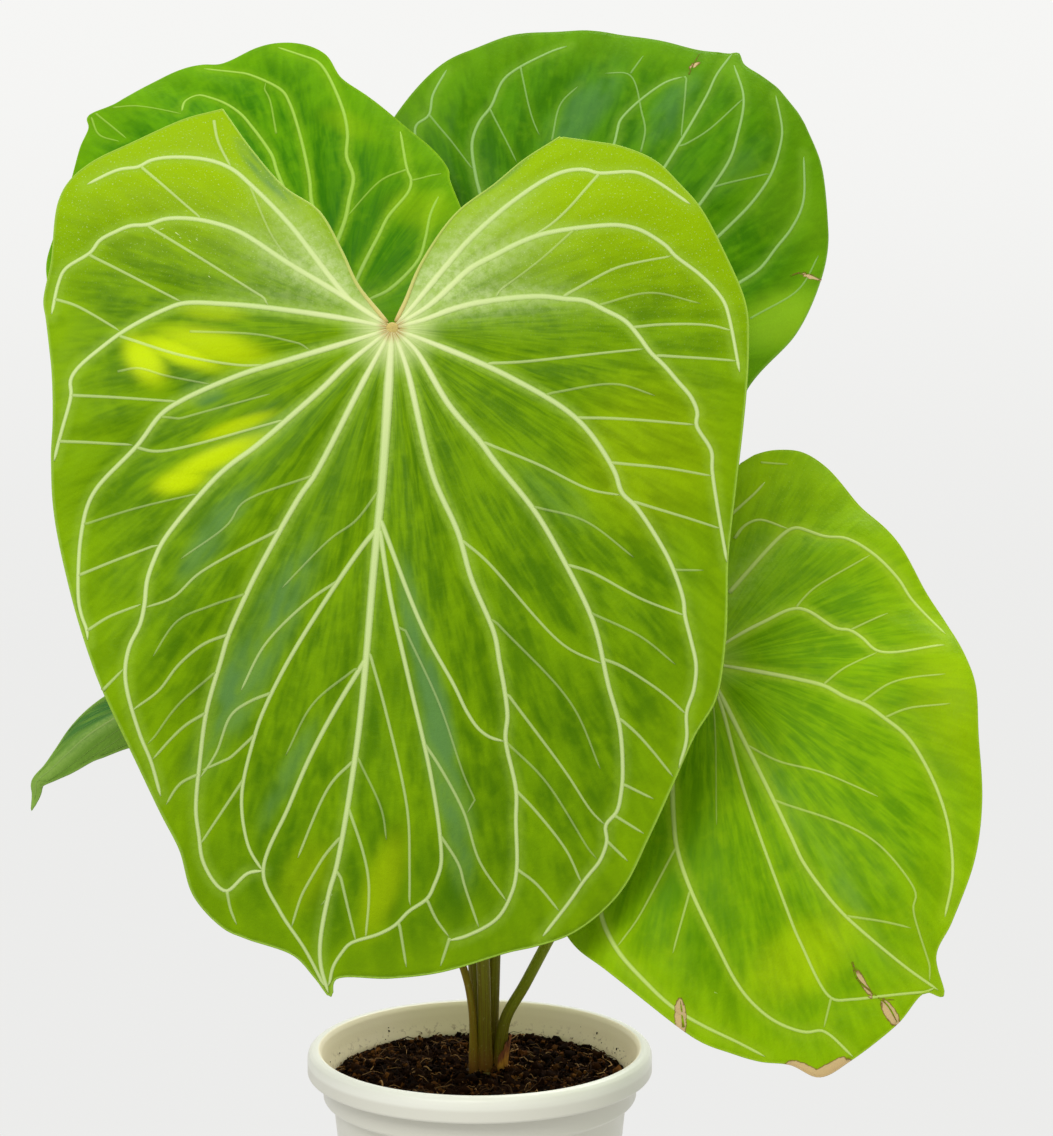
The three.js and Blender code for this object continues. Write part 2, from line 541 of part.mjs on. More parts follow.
// The soil: it fills the pot a gap inside its wall, and its top is a low uneven mound of clods.
function soilGeometry() {
  const [columns, rows] = [42, 11];
  const clearance = 1.5 * GAP;
  const side = innerWall.slice(0, 3).map(([r, z], i) => [r - clearance, i === 0 ? z + GAP : z]);
  const topRadius = innerWall[3][0] - clearance;
  const clods = (x, y) => {
    const broad = Math.sin(0.21 * x + 1.3 * Math.sin(0.13 * y)) * Math.cos(0.19 * y - 0.9 * Math.sin(0.17 * x));
    const fine = Math.sin(0.43 * x + 0.31 * y) * Math.cos(0.37 * x - 0.47 * y + 1.1);
    return broad + 0.6 * fine;
  };
  const points = [new THREE.Vector3(0, 0, SOIL_LEVEL + SOIL_MOUND)];
  const rings = [
    ...Array.from({ length: rows }, (_, i) => topRadius * (i + 1) / rows),
    ...side.toReversed(),
  ];
  rings.forEach((ring) => {
    for (let i = 0; i < columns; i += 1) {
      const angle = 2 * Math.PI * i / columns;
      const [radius, depth] = Array.isArray(ring) ? ring : [ring, null];
      const [x, y] = [radius * Math.cos(angle), radius * Math.sin(angle)];
      const calm = 1 - (radius / topRadius) ** 6;
      const mound = (SOIL_MOUND + 1) * (1 - (radius / topRadius) ** 2) - 1;
      const level = SOIL_LEVEL + mound + SOIL_RELIEF * calm * clods(x, y);
      points.push(new THREE.Vector3(x, y, depth ?? level));
    }
  });
  points.push(new THREE.Vector3(0, 0, side[0][1]));
  const bottom = points.length - 1;
  const at = (ring, i) => 1 + ring * columns + (i % columns);
  const triangles = [];
  for (let i = 0; i < columns; i += 1) {
    triangles.push([0, at(0, i), at(0, i + 1)]);
    for (let ring = 0; ring < rings.length - 1; ring += 1) {
      const [a, b, c, d] = [at(ring, i), at(ring + 1, i), at(ring + 1, i + 1), at(ring, i + 1)];
      triangles.push([a, b, c], [a, c, d]);
    }
    triangles.push([bottom, at(rings.length - 1, i + 1), at(rings.length - 1, i)]);
  }
  const holeBottom = STEM_BOTTOM - GAP;
  const holeDepth = 30;
  const holeRadius = STEM_RADIUS + GAP;
  const hole = new THREE.CylinderGeometry(holeRadius, holeRadius, holeDepth, 32).rotateX(Math.PI / 2)
    .translate(STEM_CENTRE[0], STEM_CENTRE[1], holeBottom + holeDepth / 2);
  return cut(solid(points, triangles), hole);
}

// The short stem that the stalks rise from, standing in the soil's hole.
function stemGeometry() {
  const profile = [
    [0, STEM_BOTTOM], [STEM_RADIUS - 1.5, STEM_BOTTOM], [STEM_RADIUS, STEM_BOTTOM + 3],
    [STEM_RADIUS, STEM_TOP - 1.6], [STEM_RADIUS - 0.4, STEM_TOP - 0.5], [STEM_RADIUS - 1, STEM_TOP],
    [0, STEM_TOP],
  ];
  return turned(profile, 18);
}

const plant = new THREE.Group();

function place(group, name, geometry, skin) {
  const mesh = new THREE.Mesh(geometry, skin);
  mesh.name = name;
  group.add(mesh);
  return mesh;
}

place(plant, 'pot', potGeometry(), whitePlastic);
place(plant, 'soil', soilGeometry(), coir);
place(plant, 'stem_base', stemGeometry(), stemSkin).position.set(...STEM_CENTRE, 0);
place(plant, 'dry_sheath', sheathGeometry(), drySheath);

for (const leaf of leaves) {
  const whole = new THREE.Group();
  place(whole, `blade_${leaf.name}`, bladeGeometry(leaf), leaf.skin);
  place(whole, `stalk_${leaf.name}`, stalkGeometry(leaf), stalkSkin);
  plant.add(whole);
}

export default plant;
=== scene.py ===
"""A potted king of spades anthurium: its looks, built over the CAD frame.

Shapes are worked out in millimetres and turned into metres when their mesh is made. +Z is up, the
origin is the middle of the pot's underside, and the front leaf faces -Y. A leaf is laid out flat
first, in points u+vj: u runs across it and v from the stalk's end towards the tip.
"""
import math

import bpy
import numpy as np
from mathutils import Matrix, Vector
from mathutils.kdtree import KDTree


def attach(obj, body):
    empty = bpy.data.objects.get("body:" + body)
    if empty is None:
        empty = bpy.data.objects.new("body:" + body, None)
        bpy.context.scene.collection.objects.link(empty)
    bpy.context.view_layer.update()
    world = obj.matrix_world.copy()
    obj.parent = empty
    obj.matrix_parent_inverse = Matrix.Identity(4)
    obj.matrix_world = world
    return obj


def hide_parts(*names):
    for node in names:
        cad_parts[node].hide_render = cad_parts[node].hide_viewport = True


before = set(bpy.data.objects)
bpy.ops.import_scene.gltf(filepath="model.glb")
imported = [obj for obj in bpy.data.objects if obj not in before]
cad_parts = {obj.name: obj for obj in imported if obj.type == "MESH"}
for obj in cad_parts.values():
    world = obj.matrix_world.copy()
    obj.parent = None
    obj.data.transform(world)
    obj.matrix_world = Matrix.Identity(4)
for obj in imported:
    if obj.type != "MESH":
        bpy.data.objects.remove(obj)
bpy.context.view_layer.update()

METRE = 0.001
DETAIL = 1.0

# Sizes shared with the CAD part, in millimetres
POT_HEIGHT = 135
RIM_RADIUS = 75
RIM_DEPTH = 11
OPENING_RADIUS = 68.7
COLLAR_RADIUS = 68.2
COLLAR_DEPTH = 11
SHOULDER_RADIUS = 63.9
BASE_RADIUS = 52
WALL = 2
FLOOR = 2.6
DRAIN_HOLES = 6
DRAIN_RADIUS = 4.5
DRAIN_RING_RADIUS = 38
SOIL_LEVEL = 121.5
SOIL_MOUND = 1.6
SOIL_RELIEF = 1.3
SOIL_CLEARANCE = 0.45
STEM_CENTRE = (2.5, 6, 0)
STEM_RADIUS = 10
STEM_TOP = 123
STEM_BOTTOM = 104
BLADE_THICKNESS = 0.8
PUFF_HEIGHT = 1.6
PUFF_REACH = 11
ROLL_RADIUS = 4
KNEE_LENGTH = 14
SHEATH_THICKNESS = 0.7
SHEATH_HEIGHT = 14

# The leaves. sectors holds the CAD part's main veins on the flat layout, each with the margin points
# that lead on from its end, and veins the visible ones by rank. Four kinds of oval patch are given as
# middle, half length and width, turn in degrees and strength: the ones that blend in the Sheen colour
# are painted sheen, where the velvet skin would catch the pale light; Shade is painted shade; Lit is
# painted light, where light would shine through the blade from behind; Dry is dried damage. lift is
# how much painted top light lightens the upper lobes. paint follows SKIN_COLOURS.
SKIN_COLOURS = (
    "Deep", "Bright", "Edge", "Halo", "Vein", "Base Vein", "Sheen", "Under", "Tan Colour", "Powder",
    "Lit Green")
SKIN_VALUES = (
    "Vein Distance", "Main Distance", "Margin Distance", "Base Distance", "Vein Mask", "Upper", "Cool",
    "Lit", "Shade", "Dry", "Tan")
FRONT_LEAF = {
    "name": "front", "slot": "leaf_mid_green", "grid": (400, 105), "relief": 0.8, "vein_scale": 1,
    "midrib_line": 0, "half_width": 140, "base_radius": 3.2, "arch": 14, "lobes": 56, "ridge": 8, "cup": 16,
    "roll": 0, "stalk_radius": 2.8, "stalk_end": 2.48, "wave": (2.4, 9, 0.4), "glow": 0.3, "lift": 0.8,
    "ripe": 0.15,
    "midrib": [(-34, -48, 447.5), (-57.5, -95, 184)],
    "faces": [(0, -1, 0), (0, -1, 0)],
    "stalk": [(1.8, 2.2, 123.3), (1.6, 1.8, 165), (-2, -3, 230), (-10, -12, 310), (-21, -23, 380),
     (-31, -31, 430)],
    "paint": ("487600", "82ac00", "94bc00", "acce50", "d4e69a", "e6efb0", "64924c", "86a84c", "ecca8c",
     "cfe09c", "cfe600"),
    "Cool": [(-42, 138, 52, 10, 112, 0.8), (-58, -62, 20, 4.5, 43, 0.8), (38, -71, 18, 4, -46, 0.6),
     (-62, 90, 26, 7, 118, 0.6), (34, 165, 45, 7, 75, 0.85), (22, 122, 30, 6, 72, 0.7),
     (45, 200, 24, 7, 80, 0.6), (-52, 50, 26, 9, 140, 0.55), (-24, 182, 26, 5, 112, 0.5),
     (70, 60, 22, 8, 40, 0.35), (-72, 34, 12, 7, 30, 0.5)],
    "Shade": [(84, 150, 14, 40, 10, 0.25), (-20, 60, 12, 30, 10, 0.4), (10, 150, 12, 30, 0, 0.4),
     (0, 238, 85, 34, 0, 0.8)],
    "Lit": [(-72, 14, 24, 7, 8, 0.75), (-98, 22, 12, 7, 50, 0.95), (-84, 18, 18, 5, 15, 0.95),
     (-73, 0, 14, 4, 0, 0.4), (-66, 60, 22, 4.5, 150, 0.95), (-78, 70, 11, 5, 160, 0.95),
     (-58, 46, 16, 3, 155, 0.75), (17, 222, 7, 22, 12, 0.36), (-14, 222, 10, 16, 20, 0.2),
     (108, 42, 30, 34, 0, 0.22)],
    "sectors": [([-6-6j, -16-17j, -24-31j, -35-47j, -50-56j, -66-72j, -80-89j], [-95-83j, -116-70j,
     -131-60j]), ([-18-10j, -37-30j, -55-48j, -72-62j, -90-66j, -107-63j, -139-51j], [-142-42j, -142-17j,
     -143+0j]), ([-20-11j, -44-23j, -66-35j, -87-39j, -111-34j, -126-22j, -141+7j], [-135+29j, -132+49j]),
     ([-17-2j, -42-3j, -68-4j, -92+0j, -110+12j, -122+25j, -131+66j], [-127+90j, -118+117j]), ([-16+7j,
     -40+17j, -71+31j, -94+51j, -110+73j, -116+103j, -106+144j], [-98+159j, -86+180j]), ([-16+16j, -34+37j,
     -59+62j, -82+94j, -88+129j, -87+162j, -73+203j], [-65+216j, -58+234j]), ([-9+22j, -20+50j, -36+85j,
     -50+121j, -59+161j, -59+196j, -45+246j], [-36+249j, -16+254j, -7+262j]), ([0+13j, 2+62j, 2+127j, 2+175j,
     -2+217j, -5+249j, 0+269j], [1+262j, 23+259j, 42+255j]), ([7+15j, 17+45j, 34+81j, 47+111j, 59+146j,
     64+175j, 68+209j, 69+245j], [79+242j, 93+236j]), ([10+8j, 26+30j, 55+61j, 78+90j, 96+128j, 108+167j,
     108+197j, 105+226j], [113+215j, 121+194j]), ([14+4j, 37+11j, 70+27j, 94+47j, 117+81j, 131+119j, 131+147j,
     128+174j], [135+153j, 142+138j, 144+114j]), ([13-5j, 34-14j, 58-19j, 85-16j, 111+5j, 126+28j,
     143+82j], [144+53j, 145+15j]), ([14-11j, 29-28j, 48-41j, 70-50j, 97-52j, 117-39j, 145-6j], [143-25j,
     132-48j, 121-65j]), ([6-8j, 21-31j, 35-49j, 51-65j, 66-75j, 83-77j, 112-74j], [101-83j, 86-88j, 74-89j]),
     ([4-11j, 9-28j, 21-51j, 36-66j, 47-78j, 61-90j], [])],
    "veins": {
     "fleck": [[-98.4-33.2j, -96.8-34j], [-92-32.4j, -90-31.2j], [-90-30.4j, -89.2-30j], [-86-29.4j,
      -85-28.6j], [-83.2-30j, -82.2-29.6j], [-76.2-15j, -75.4-14.4j], [-131.8-27j, -131.2-26.6j]],
     "main": [[0+1j, 2+62j, 2+95j, 2+165j, -2+217j, -4+227j, -6+247j, -5+257j, -1+268j], [-18-10j, -28-20j,
      -46-40j, -64-56j, -72-62j, -80-65j, -90-66j, -101-65j, -107-63j, -111-60j, -119-58j, -132-50j],
      [-20-11j, -44-23j, -66-35j, -77-38j, -87-39j, -97-38j, -104-35j, -111-34j, -117-31j, -123-27j, -126-22j,
      -136-14j, -138-8j, -139+6j], [-17-2j, -54-4j, -68-4j, -85-3j, -92+0j, -106+9j, -115+17j, -125+28j,
      -127+33j, -126+39j, -128+53j, -129+59j, -130+66j], [-16+7j, -40+17j, -59+25j, -82+38j, -89+44j, -97+57j,
      -110+73j, -113+78j, -115+84j, -116+93j, -116+103j, -114+121j, -112+127j, -109+133j, -108+138j],
      [-16+16j, -25+27j, -34+37j, -50+54j, -59+62j, -66+70j, -82+94j, -85+102j, -87+111j, -87+121j, -88+129j,
      -91+137j, -92+145j, -91+153j, -84+172j, -79+182j, -74+196j], [-9+22j, -25+63j, -30+72j, -44+104j,
      -47+112j, -53+130j, -55+140j, -59+161j, -60+180j, -60+200j, -58+210j, -56+219j, -52+226j, -48+230j,
      -45+231j, -37+223j, -31+221.5j], [6-8j, 21-31j, 28-41j, 43-58j, 58-71j, 66-75j, 73-76j, 78-75j, 93-77j,
      100-75j, 118-65j], [14-11j, 22-20j, 29-28j, 39-35j, 48-41j, 58-46j, 81-52j, 89-53j, 97-52j, 104-49j,
      109-46j, 112-43j, 123-36j, 130-30j, 134-25j, 136-20j, 142+5j], [13-5j, 23-10j, 34-14j, 58-19j, 69-19j,
      77-19j, 85-16j, 94-12j, 100-6j, 105+0j, 111+5j, 117+11j, 123+17j, 126+23j, 126+28j, 133+38j, 134+46j,
      143+84j], [14+4j, 49+16j, 78+31j, 94+50j, 98+59j, 104+64j, 117+81j, 122+90j, 126+100j, 127+106j,
      130+115j, 133+125j, 133+135j, 131+144j, 132+155j, 130+167j], [10+8j, 26+30j, 40+44j, 46+51j, 64+70j,
      78+90j, 89+108j, 93+117j, 99+136j, 105+152j, 108+171j, 108+179j, 107+186j, 103+192j, 104+198j, 102+206j,
      98+212j, 96+215j, 92+222j, 81+239j], [7+15j, 22+59j, 34+81j, 41+99j, 52+120j, 55+131j, 58+142j, 60+152j,
      60+161j, 66+181j, 67+193j, 69+212j, 68+221j, 63+232j, 51+240j, 45+242j]],
     "branch": [[2+82j, -4+91j, -28+137j, -37+160j, -39+168j, -42+186j, -42+196j, -40+206j, -37+214j,
      -31+222j], [2+135j, -7+153j, -16+174j, -23+195j, -31+222j, -23+237j, -12+251j, -3+265j], [3+79j,
      24+121j, 38+142j, 44+152j, 49+158j, 54+161j, 59+162j], [3+83j, 10+110j, 20+141j, 32+178j, 38+203j,
      39+213j, 37+221j, 35+226j, 28+232j, 23+238j, 17+242j, 6+247j, 3+251j, 0+257j, -1+264j]],
     "link": [[1+175j, -6+183j, -10+191j, -18+216j], [-2+206j, -7+213j, -12+223j, -15+230j, -18+243j],
      [4+133j, 12+154j, 24+192j, 27+216j, 28+228j], [0+192j, 8+210j, 11+220j, 12+229j, 12+243j], [0+221j,
      8+245j], [-82.8-83.5j, -80.1-74.8j, -73-63j], [-45+231j, -43+238j, -40+244j], [78-74j, 67-58j, 60-50j,
      54-45j], [-110-60j, -83-40j], [-103-34j, -53-8j], [-125-20j, -104-11j, -85-3j], [-138-1j, -130+1j,
      -121+5j, -111+10j], [-109+13j, -84+19j, -59+21j, -49+20j], [-126+39j, -82+38j], [-129+58j, -100+57j],
      [-97+58j, -90+59j, -80+57j, -40+42j], [-115+111j, -86+97j], [-109+133j, -101+127j, -87+120j], [-35+85j,
      -55+98j, -67+107j, -76+117j, -87+122j], [-52+129j, -62+134j, -71+143j, -78+154j, -87+162j], [-59+161j,
      -67+167j, -79+182j], [-61+186j, -67+190j, -72+199j], [-100+156j, -92+146j], [-11+104j, -22+113j,
      -38+132j, -46+151j], [-34+151j, -42+155j, -49+161j, -54+177j, -60+188j], [-39+168j, -48+178j],
      [-42+186j, -57+213j], [69-21j, 88-34j, 98-38j, 110-42j], [98-10j, 108-12j, 129-14j, 137-13j], [109+1j,
      140+0j], [41+11j, 55+9j, 102-1j], [78+30j, 91+29j, 125+28j], [94+47j, 115+47j, 133+48j], [103+62j,
      138+69j], [42+44j, 64+51j, 85+59j, 98+60j], [79+90j, 88+92j, 109+101j, 127+106j], [96+126j, 103+128j,
      120+137j, 131+145j], [105+149j, 113+155j, 128+170j], [36+84j, 46+91j, 80+122j, 96+128j], [60+144j,
      85+172j, 97+187j, 103+192j], [66+181j, 74+188j, 88+203j, 95+215j], [69+212j, 77+217j, 88+228j],
      [27+164j, 35+174j, 46+191j, 54+210j, 66+225j], [37+200j, 46+212j, 49+220j, 56+236j], [45+241j, 42+254j],
      [25+238j, 29+254j], [109+175j, 122+180j], [107+188j, 119+194j], [104+198j, 114+206j], [35+227j, 39+234j,
      45+241j]],
     "thin": [[-3+228j, -7+233j], [3+174j, 14+193j, 17+205j], [-64-55j, -53-35j, -44-24j], [70-49j, 57-34j,
      42-20j], [-81+9j, -53+8j, -36+10j], [-108+28j, -100+26j, -89+28j, -69+30j], [-81+45j, -46+32j],
      [-114+90j, -93+82j, -72+75j], [-25+63j, -48+74j, -53+78j, -57+86j, -75+102j], [-48+113j, -61+119j,
      -73+126j, -82+142j], [-57+145j, -70+159j, -78+172j], [1+67j, -7+80j, -16+88j, -34+110j], [-2+139j,
      -17+154j, -26+175j], [83-18j, 103-25j, 124-23j], [66+21j, 92+15j, 108+18j], [122+88j, 134+87j], [64+68j,
      84+72j, 105+85j], [89+108j, 110+116j, 125+126j], [52+115j, 85+145j, 99+170j], [60+162j, 77+176j,
      97+202j], [17+122j, 33+150j, 45+177j, 50+186j]],
    },
}
BACK_LEFT_LEAF = {
    "name": "back_left", "slot": "leaf_bright_green", "grid": (240, 70), "relief": 0.4, "vein_scale": 0.78,
    "midrib_line": -1, "half_width": 80, "base_radius": 2.9, "arch": 10, "lobes": 40, "ridge": 6, "cup": 10,
    "roll": 0, "stalk_radius": 2.6, "stalk_end": 2.18, "wave": (2, 8, 1.5), "glow": 0.4, "lift": 0,
    "ripe": 0.15,
    "midrib": [(-58.5, 35, 450), (-184.5, 145, 539)],
    "faces": [(0, -1, 0.4), (0, -1, 0.4)],
    "stalk": [(-1.2, 9, 123.3), (-2.5, 12, 165), (-8, 19, 230), (-22, 29, 310), (-39, 39, 385),
     (-51, 46, 428)],
    # Painted lighter and yellower than the leaf's own green, partly for the light that would shine through it
    # from behind
    "paint": ("347c00", "6eae00", "88c000", "9ccc20", "b8e05c", "b8dc70", "5c9a40", "78a838", "cf9c4c",
     "70a830", "c0e400"),
    "Shade": [(-6, 30, 58, 46, 0, 0.8), (-44, 56, 22, 12, 80, 0.5)],
    "Lit": [(-60, 14, 16, 11, 60, 0.25), (-69, 72, 16, 6, 80, 0.2)],
    "sectors": [([-4-12j, -14-27j, -32-38j, -50-34j], [-60-22j]), ([-13-3j, -32-6j, -50+0j, -71+10j,
     -80+18j], [-83+22j, -87+38j]), ([-16+9j, -38+18j, -63+26j, -77+42j, -87+58j], [-86+77j, -86+96j,
     -92+116j]), ([-23+29j, -42+41j, -65+67j, -80+95j, -91+134j], [-86+145j, -78+154j]), ([-12+22j, -31+55j,
     -50+85j, -63+119j, -61+163j], [-55+170j, -45+176j]), ([-8+26j, -20+56j, -34+92j, -42+130j,
     -31+180j], [-13+182j]), ([2+30j, 4+66j, 2+110j, -1+156j, 0+190j], [5+182j, 15+175j]), ([9+26j, 24+62j,
     35+98j, 38+132j, 27+167j], [46+154j]), ([14+20j, 36+48j, 56+78j, 66+108j, 64+144j], [73+131j, 84+104j]),
     ([17+10j, 42+20j, 66+36j, 82+56j, 88+80j], [90+56j, 89+30j]), ([14-2j, 38-8j, 60-8j, 78-2j,
     86+8j], [80-16j, 68-32j]), ([4-12j, 16-28j, 34-40j, 54-40j], [])],
    "veins": {
     "main": [[-16+9j, -38+18j, -47+22j, -63+26j, -68+30j, -71+36j, -84+55j], [-23+29j, -34+35j, -42+41j,
      -51+48j, -57+59j, -65+67j, -72+77j, -85+107j, -87+117j, -86+126j, -83+145j], [-14+25j, -31+55j, -38+64j,
      -52+87j, -63+109j, -66+119j, -64+144j, -61+152j, -53+168j], [-11+29j, -32+81j, -37+91j, -40+101j,
      -43+114j, -45+125j, -45+136j, -43+146j, -40+153j, -34+154j, -27+147j], [-13-2j, -22-5j, -41-4j, -50+1j,
      -61+9j, -71+14j]],
     "link": [[-71+36j, -60+38j, -34+35j], [-68+30j, -81+22j], [-47+100j, -59+120j, -62+128j], [-3+187j,
      -1+156j], [0+187j, 5+172j, 2+158j], [-10+181j, -17+170j, -27+146j]],
    },
}
BACK_RIGHT_LEAF = {
    "name": "back_right", "slot": "leaf_dark_green", "grid": (280, 80), "relief": 0.45, "vein_scale": 0.76,
    "midrib_line": -1, "half_width": 110, "base_radius": 2.9, "arch": 12, "lobes": 48, "ridge": 6, "cup": 14,
    "roll": 0, "stalk_radius": 2.6, "stalk_end": 2.18, "wave": (2.4, 7, 2.2), "glow": 0.3, "lift": 0,
    "ripe": 0.15,
    "midrib": [(10.5, 60, 413), (119, 142, 569)],
    "faces": [(0, -1, 0.3), (0, -1, 0.3)],
    "stalk": [(4.6, 10, 123.3), (6, 14, 165), (7.5, 26, 230), (8.5, 45, 310), (9.3, 63, 375), (9.4, 72, 397)],
    "paint": ("347000", "5c9a00", "7cb008", "8cb840", "a2ca74", "94b860", "588c48", "6f9450", "b98a4a",
     "649838", "9cc820"),
    "Cool": [(45, 140, 34, 12, 90, 0.55), (10, 160, 26, 9, 90, 0.5), (-30, 150, 24, 8, 100, 0.4)],
    "Lit": [(-85, 100, 24, 14, 120, 0.6), (-55, 150, 26, 18, 0, 0.15)],
    "Dry": [(13.8, 190, 7, 1.4, 84, 0.75), (-86, 128, 7, 1.5, 165, 0.75)],
    "sectors": [([-4-12j, -16-30j, -34-42j, -56-44j], [-72-36j, -84-18j]), ([-14-3j, -40-8j, -66-4j,
     -90+12j], [-93+36j]), ([-18+8j, -44+18j, -70+36j, -89+63j], [-94+97j, -90+129j]), ([-19+15j, -41+30j,
     -61+68j, -73+92j, -84+147j], [-77+158j, -61+179j]), ([-10+17j, -34+42j, -50+77j, -59+102j, -65+130j,
     -47+190j], [-44+192j]), ([-8+22j, -23+51j, -33+86j, -40+116j, -44+150j, -28+199j], [-25+200j, -6+202j]),
     ([-1+20j, -1+48j, -3+93j, -3+134j, -1+162j, 0+207j], [3+204j]), ([5+20j, 9+48j, 17+99j, 26+138j, 20+166j,
     15+198j], [34+192j]), ([8+16j, 15+28j, 38+86j, 48+117j, 54+144j, 52+186j], [61+182j]), ([12+14j, 28+36j,
     60+74j, 77+94j, 80+130j, 78+170j], [92+156j, 102+138j]), ([14+10j, 22+23j, 75+63j, 93+82j,
     110+123j], [114+87j, 112+64j]), ([18+6j, 48+16j, 80+20j, 108+40j], [106+16j, 100-8j]), ([15-4j, 42-12j,
     68-12j, 92-22j], [80-38j]), ([4-12j, 18-32j, 40-46j, 64-46j], [])],
    "veins": {
     "scar": [[12.8+181.9j, 14+189j, 14.7+197j], [-77.4+122.4j, -81.4+127.8j, -86+129j, -91.4+129.4j]],
     "main": [[28+36j, 60+74j, 66+80j, 77+94j, 80+105j, 80+115j, 83+133j, 74+158j, 68+167j], [-2+43j, -3+134j,
      0+176j, 2+189j, 2+205j], [-11+54j, -23+94j, -26+125j, -26+151j, -23+163j, -15+184j, -2+199j], [-19+49j,
      -33+86j, -43+129j, -45+143j, -45+158j, -42+171j, -38+181j, -26+196j], [-34+42j, -50+77j, -59+102j,
      -64+116j, -65+130j, -66+143j, -64+157j, -52+178j], [7+32j, 17+99j, 23+131j, 25+137j, 27+144j, 20+172j,
      14+180j], [22+23j, 75+63j, 103+87j, 101+95j, 105+105j, 107+120j]],
     "link": [[80+114j, 55+97j], [80+142j, 62+122j, 53+115j], [100+95j, 70+83j], [48+117j, 55+137j, 53+151j],
      [10+132j, 14+143j, 20+151j, 36+167j, 47+162j], [36+168j, 36+181j], [13+180j, -1+150j], [-5+146j,
      -10+158j, -15+183j], [-27+135j, -43+157j], [-73+92j, -84+119j, -83+140j]],
    },
}
LOWER_RIGHT_LEAF = {
    "name": "lower_right", "slot": "leaf_yellow_green", "grid": (300, 80), "relief": 0.6, "vein_scale": 0.8,
    "midrib_line": -1, "half_width": 100, "base_radius": 2.7, "arch": 10, "lobes": -40, "ridge": 6, "cup": 10,
    "roll": 0, "stalk_radius": 2.4, "stalk_end": 1.98, "wave": (2.2, 8, 0.9), "glow": 0.4, "lift": 0,
    "ripe": 0,
    "midrib": [(95.5, -6, 304.5), (186, -98, 183)],
    "faces": [(0.1, -1, 0.25), (0.1, -1, 0.25)],
    "stalk": [(8, 4.5, 123.3), (8.8, 4.8, 132), (11.2, 6, 145), (19.6, 9, 159.5), (29.7, 14, 177.5),
     (52.7, 22, 217.5), (77, 24, 262), (92, 13, 288)],
    # Painted lighter and yellower than the leaf's own green, partly for the light that would shine through it
    # from behind
    "paint": ("5e9400", "96c400", "a8cc00", "b4d430", "d4ea80", "dcea94", "78a84c", "98b848", "cf9c4c",
     "a8cc50", "d4e800"),
    "Cool": [(-6, 60, 40, 8, 95, 0.35), (-8, 120, 34, 5, 95, 0.4)],
    "Shade": [(-60, 85, 40, 20, 110, 0.8), (12, 20, 30, 20, 0, 0.3), (57, 3, 24, 24, 0, 0.2)],
    "Lit": [(73, -50, 22, 22, 0, 0.1), (71, 76, 30, 16, 110, 0.2), (-38, 134, 26, 14, 0, 0.35)],
    "Dry": [(-92.5, 129, 8.5, 2.6, -60, 0.9), (-62, 170.5, 8, 3, 54, 0.95), (-52, 176, 9, 3, 3, 0.95),
     (-21, 171, 7, 2.6, 90, 0.85), (-23.6, 156, 8, 1.7, 95, 0.8)],
    "sectors": [([-5-12j, -16-28j, -34-42j, -58-50j], [-78-40j, -94-18j]), ([-22+1j, -56+7j, -84+21j, -99+38j,
     -112+74j], [-107+96j]), ([-14+7j, -51+28j, -80+52j, -95+74j, -98+96j, -92+139j], [-83+151j, -75+159j]),
     ([-8+11j, -34+35j, -50+57j, -61+87j, -65+122j, -65+166j], [-58+176j]), ([-5+17j, -13+46j, -24+83j,
     -32+113j, -36+140j, -44+177j], [-21+176j, -5+172j]), ([-2+14j, -7+45j, -12+75j, -16+101j, -15+126j,
     -10+148j, 0+177j], [6+163j]), ([6+10j, 20+25j, 36+48j, 46+80j, 43+118j, 19+155j], [42+138j, 60+118j]),
     ([14+5j, 35+14j, 54+28j, 68+50j, 75+94j], [86+76j, 91+61j]), ([13-3j, 32-6j, 60-4j, 82+10j,
     95+42j], [97+25j, 101-2j]), ([12-12j, 28-23j, 49-31j, 71-35j, 84-34j, 100-28j], [100-56j, 95-68j]),
     ([8-15j, 24-35j, 42-50j, 57-59j, 73-64j, 86-74j], [77-76j]), ([4-12j, 16-32j, 30-52j, 44-66j,
     67-76j], [])],
    "veins": {
     "fleck": [[-76+128j, -75.2+129j]],
     "scar": [[-22.6+146.5j, -24.5+153j, -22.6+161j, -20.5+168j, -21+177j], [-21.6+164.7j, -17+168j],
      [-93.8+133j, -92+129.5j, -90.5+126.5j, -88.8+123j]],
     "main": [[-2+14j, -7+45j, -14+89j, -16+101j, -16+114j, -15+126j, -13+136j, -6+160j, 0+175j], [6+7j,
      28+32j, 35+41j, 39+50j, 44+58j, 47+67j, 50+78j, 50+89j, 47+106j, 41+122j, 30+140j, 18+152j], [13-2j,
      32-1j, 47+2j, 55+20j, 59+24j, 61+30j, 63+40j, 87+53j], [28-23j, 67-36j, 71-35j, 78-23j, 84-17j, 89-3j,
      91+14j, 90+24j, 91+48j], [-36+33j, -50+57j, -56+69j, -61+87j, -65+116j, -66+128j, -65+138j, -61+149j,
      -53+159j, -47+162j, -42+178j], [-88+62j, -96+74j, -99+91j, -97+109j, -92+127j, -72+159j]],
     "branch": [[-5+22j, -19+62j, -32+113j, -35+128j, -37+153j, -31+158j, -5+172j], [45-45j, 52-48j, 59-47j,
      68-36j], [49-56j, 65-60j, 73-63j]],
     "link": [[59+24j, 78+26j], [76-72j, 87-65j], [47+67j, 56+69j, 73+77j], [43+56j, 58+56j, 68+59j, 79+65j],
      [35+40j, 44+39j, 63+40j], [49+0j, 59-3j, 88-3j], [-7+45j, 0+60j, 11+74j, 25+97j], [-11+73j, 11+109j,
      14+130j, 13+139j, 9+143j, 2+165j], [-14+130j, -3+141j, 5+150j], [-37+153j, -47+162j], [-57+69j, -85+86j,
      -96+90j], [-62+88j, -82+107j]],
     "thin": [[-8+21j, -38+71j]],
    },
}
